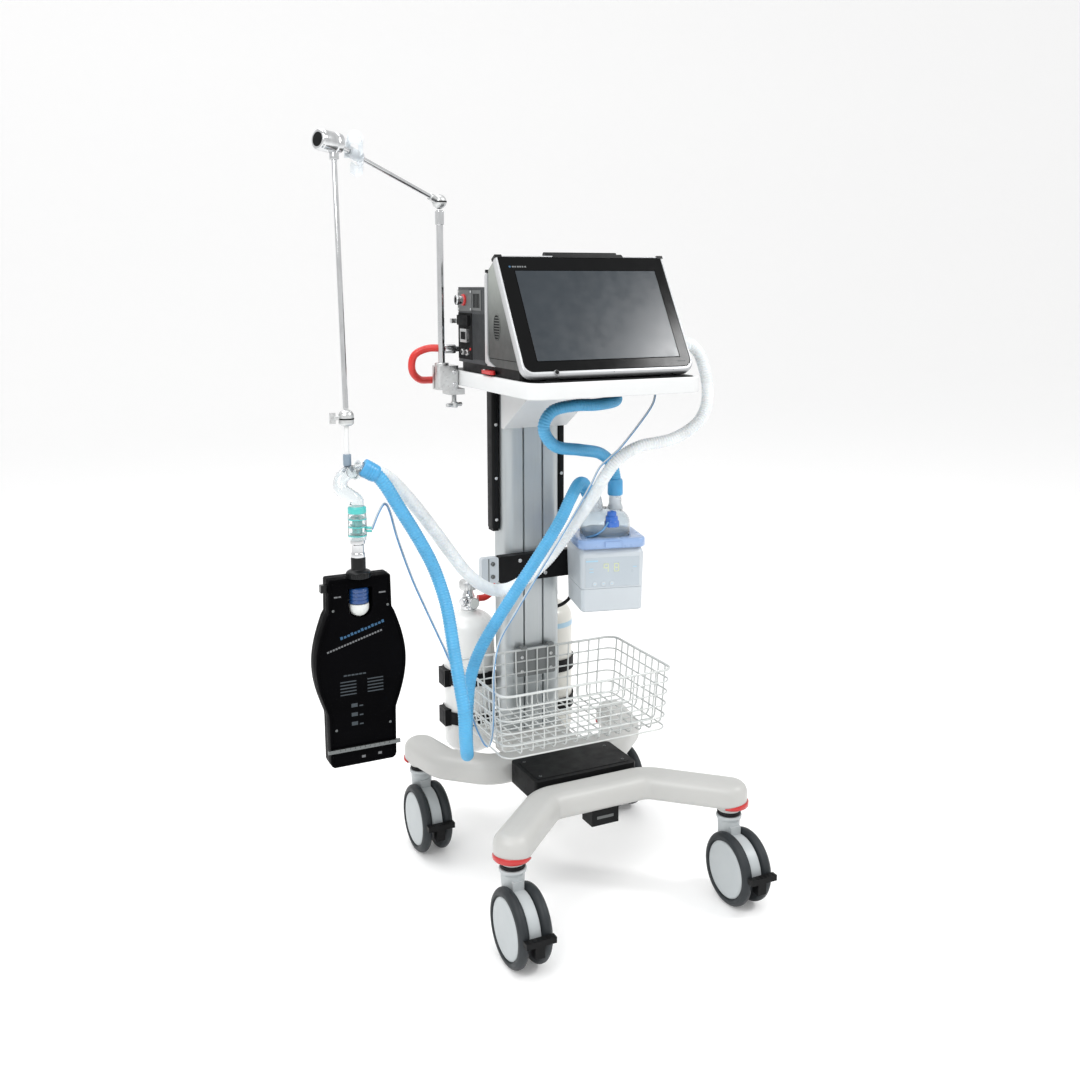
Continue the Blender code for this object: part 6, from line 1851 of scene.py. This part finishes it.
def build_test_lung(mats):
    """Black shaped plate with a window, faint print, a collar on top and a small stop lever."""
    front = CIRCUIT.y - 0.0060
    back = CIRCUIT.y + 0.0280
    hole = round_corners([(-0.0195, 0.5400), (0.0195, 0.5400), (0.0195, 0.5880), (-0.0195, 0.5880)],
                         [0.0180, 0.0180, 0.0015, 0.0015], 8)
    plate = cut_plate(lung_outline(), hole, front, back, CIRCUIT.y + 0.0220, 0.0018)
    plate.transform(Matrix.Translation(Vector((CIRCUIT.x, 0, 0))))
    parts = [(plate, 0)]
    inner = [Vector((p.x + CIRCUIT.x, front - 0.0002, p.y)) for p in offset_outline(lung_outline(), 0.0046)]
    parts.append((sweep_ring(inner, 0.0007), 0))
    seam = [Vector((p.x + CIRCUIT.x, CIRCUIT.y + 0.0110, p.y))
            for p in offset_outline(lung_outline(), 0.0002)]
    parts.append((sweep_ring(seam, 0.0009), 1))
    collar = lathe(fillet([(0.0040, LUNG_TOP - 0.0010), (0.0190, LUNG_TOP - 0.0010),
                           (0.0190, LUNG_TOP + 0.0080), (0.0172, LUNG_TOP + 0.0095),
                           (0.0115, LUNG_TOP + 0.0120), (0.0115, 0.6354), (0.0040, 0.6354)], 0.0014), 40,
                   "Z", CIRCUIT)
    parts.append((collar, 1))
    for i in range(24):
        rib = soft_block((0.0186, -0.0008, LUNG_TOP + 0.0006), (0.0196, 0.0008, LUNG_TOP + 0.0070), 0.0)
        rib.transform(Matrix.Translation(CIRCUIT) @ Matrix.Rotation(2 * pi * i / 24, 4, "Z"))
        parts.append((rib, 1))
    lever = soft_block((CIRCUIT.x - 0.0600, CIRCUIT.y + 0.0020, 0.5840),
                       (CIRCUIT.x - 0.0490, CIRCUIT.y + 0.0120, 0.5960), 0.0020, 3)
    parts.append((lever, 1))
    parts += [(screw, 5) for screw in lung_screws(front)]
    parts += lung_print(front)
    piece("lung_plate", merged(*parts),
          [mats["plate_black"], mats["satin_black"], mats["print_blue"], mats["print_dim"],
           mats["print_grey"], mats["dark_steel"]], "test_lung", ["test_lung"], 30)
    build_lung_controls(front, mats)


def lung_screws(front):
    return [socket_screw((CIRCUIT.x + x, front - 0.0001, z), (0, -1, 0), 0.0021, 0.0008)
            for x, z in ((-0.0440, 0.5560), (0.0440, 0.5560), (-0.0440, 0.3620), (0.0440, 0.3620))]


PRINT_SLOPE = radians(16)


def lung_print(front):
    """Faint generic strokes and blocks in the places of the printing."""
    marks = []
    word = [(i * 0.0058, 0.0040, 0.0036 + 0.0010 * (i % 3 == 0)) for i in range(13)]
    marks += [(bar, 2) for bar in slanted(word, (CIRCUIT.x - 0.0330, 0.5080), PRINT_SLOPE, front)]
    word = [(i * 0.0047, 0.0033, 0.0028) for i in range(20)]
    marks += [(bar, 4) for bar in slanted(word, (CIRCUIT.x - 0.0550, 0.4890), PRINT_SLOPE, front)]
    marks += [(bar, 4) for bar in slanted([(0.0, 0.0060, 0.0024), (0.0070, 0.0040, 0.0024)],
                                          (CIRCUIT.x - 0.0420, 0.5760), 0.0, front)]
    marks += [(bar, 4) for bar in slanted([(0.0, 0.0110, 0.0024)], (CIRCUIT.x + 0.0300, 0.5760), 0.0, front)]
    marks += [(bar, 3) for bar in slanted([(i * 0.0062, 0.0050, 0.0024) for i in range(6)],
                                          (CIRCUIT.x - 0.0300, 0.4480), 0.0, front)]
    for row in range(5):
        z = 0.4380 - row * 0.0052
        marks += [(bar, 3) for bar in slanted([(0.0, 0.0260, 0.0018)], (CIRCUIT.x - 0.0360, z), 0.0, front)]
        marks += [(bar, 3) for bar in slanted([(0.0, 0.0260, 0.0018)], (CIRCUIT.x + 0.0080, z), 0.0, front)]
    for row in range(3):
        z = 0.3960 - row * 0.0150
        marks += [(bar, 3) for bar in slanted([(0.0, 0.0100, 0.0060), (0.0130, 0.0060, 0.0022)],
                                              (CIRCUIT.x - 0.0190, z), 0.0, front)]
    for x, z in ((-0.0040, 0.3100), (0.0230, 0.3110)):
        marks += [(bar, 4) for bar in slanted([(0.0, 0.0060, 0.0040)], (CIRCUIT.x + x, z), 0.0, front)]
    return marks


def build_lung_controls(front, mats):
    """Banded knob and its pale bulb in the window, and the sliding metal bar across the foot."""
    centre = (CIRCUIT.x, CIRCUIT.y + 0.004, 0)
    profile = [(0.0030, 0.5622), (0.0140, 0.5622)]
    for i in range(4):
        z = 0.5636 + i * 0.0058
        profile += [(0.0155, z), (0.0155, z + 0.0042), (0.0146, z + 0.0048), (0.0146, z + 0.0054)]
    profile += [(0.0150, 0.5862), (0.0136, 0.5872), (0.0030, 0.5872)]
    knob = lathe(fillet(profile, 0.0004, 2), 40, "Z", centre)
    piece("blue_knob", knob, mats["knob_blue"], "resistance_knob", ["resistance_knob"], 40)
    bulb = [(0.0030, 0.5405)]
    for angle in range(-80, 1, 10):
        bulb.append((0.0160 * cos(radians(angle)), 0.5562 + 0.0155 * sin(radians(angle))))
    bulb += [(0.0160, 0.5615), (0.0030, 0.5618)]
    backing = soft_block((CIRCUIT.x - 0.0188, CIRCUIT.y + 0.0206, 0.5420),
                         (CIRCUIT.x + 0.0188, CIRCUIT.y + 0.0218, 0.5872), 0.0)
    piece("bulb", merged(lathe(bulb, 40, "Z", centre), backing), mats["bulb"], "test_lung", smooth=60)
    bar = soft_block((CIRCUIT.x - 0.0588, front - 0.0052, 0.3262),
                     (CIRCUIT.x + 0.0588, front - 0.0006, 0.3320), 0.0010)
    ticks = [(soft_block((CIRCUIT.x - 0.0400 + i * 0.0080, front - 0.0054, 0.3286),
                         (CIRCUIT.x - 0.0394 + i * 0.0080, front - 0.0050, 0.3316), 0.0), 1)
             for i in range(11)]
    piece("sliding_bar", merged((bar, 0), *ticks), [mats["dark_steel"], mats["vent_dark"]], "compliance_bar",
          ["compliance_bar"])


# ---------------------------------------------------------------- the whole

def main():
    mats = make_materials()
    add_camera()
    add_light()
    add_floor()
    build_base(mats)
    build_column(mats)
    build_bracket(mats)
    build_bottles(mats)
    build_basket(mats)
    build_tray(mats)
    build_front_frame(mats)
    build_display(mats)
    build_housing(mats)
    build_module(mats)
    build_humidifier(mats)
    build_arm(mats)
    build_hanger(mats)
    build_test_lung(mats)
    build_hoses(mats)


main()
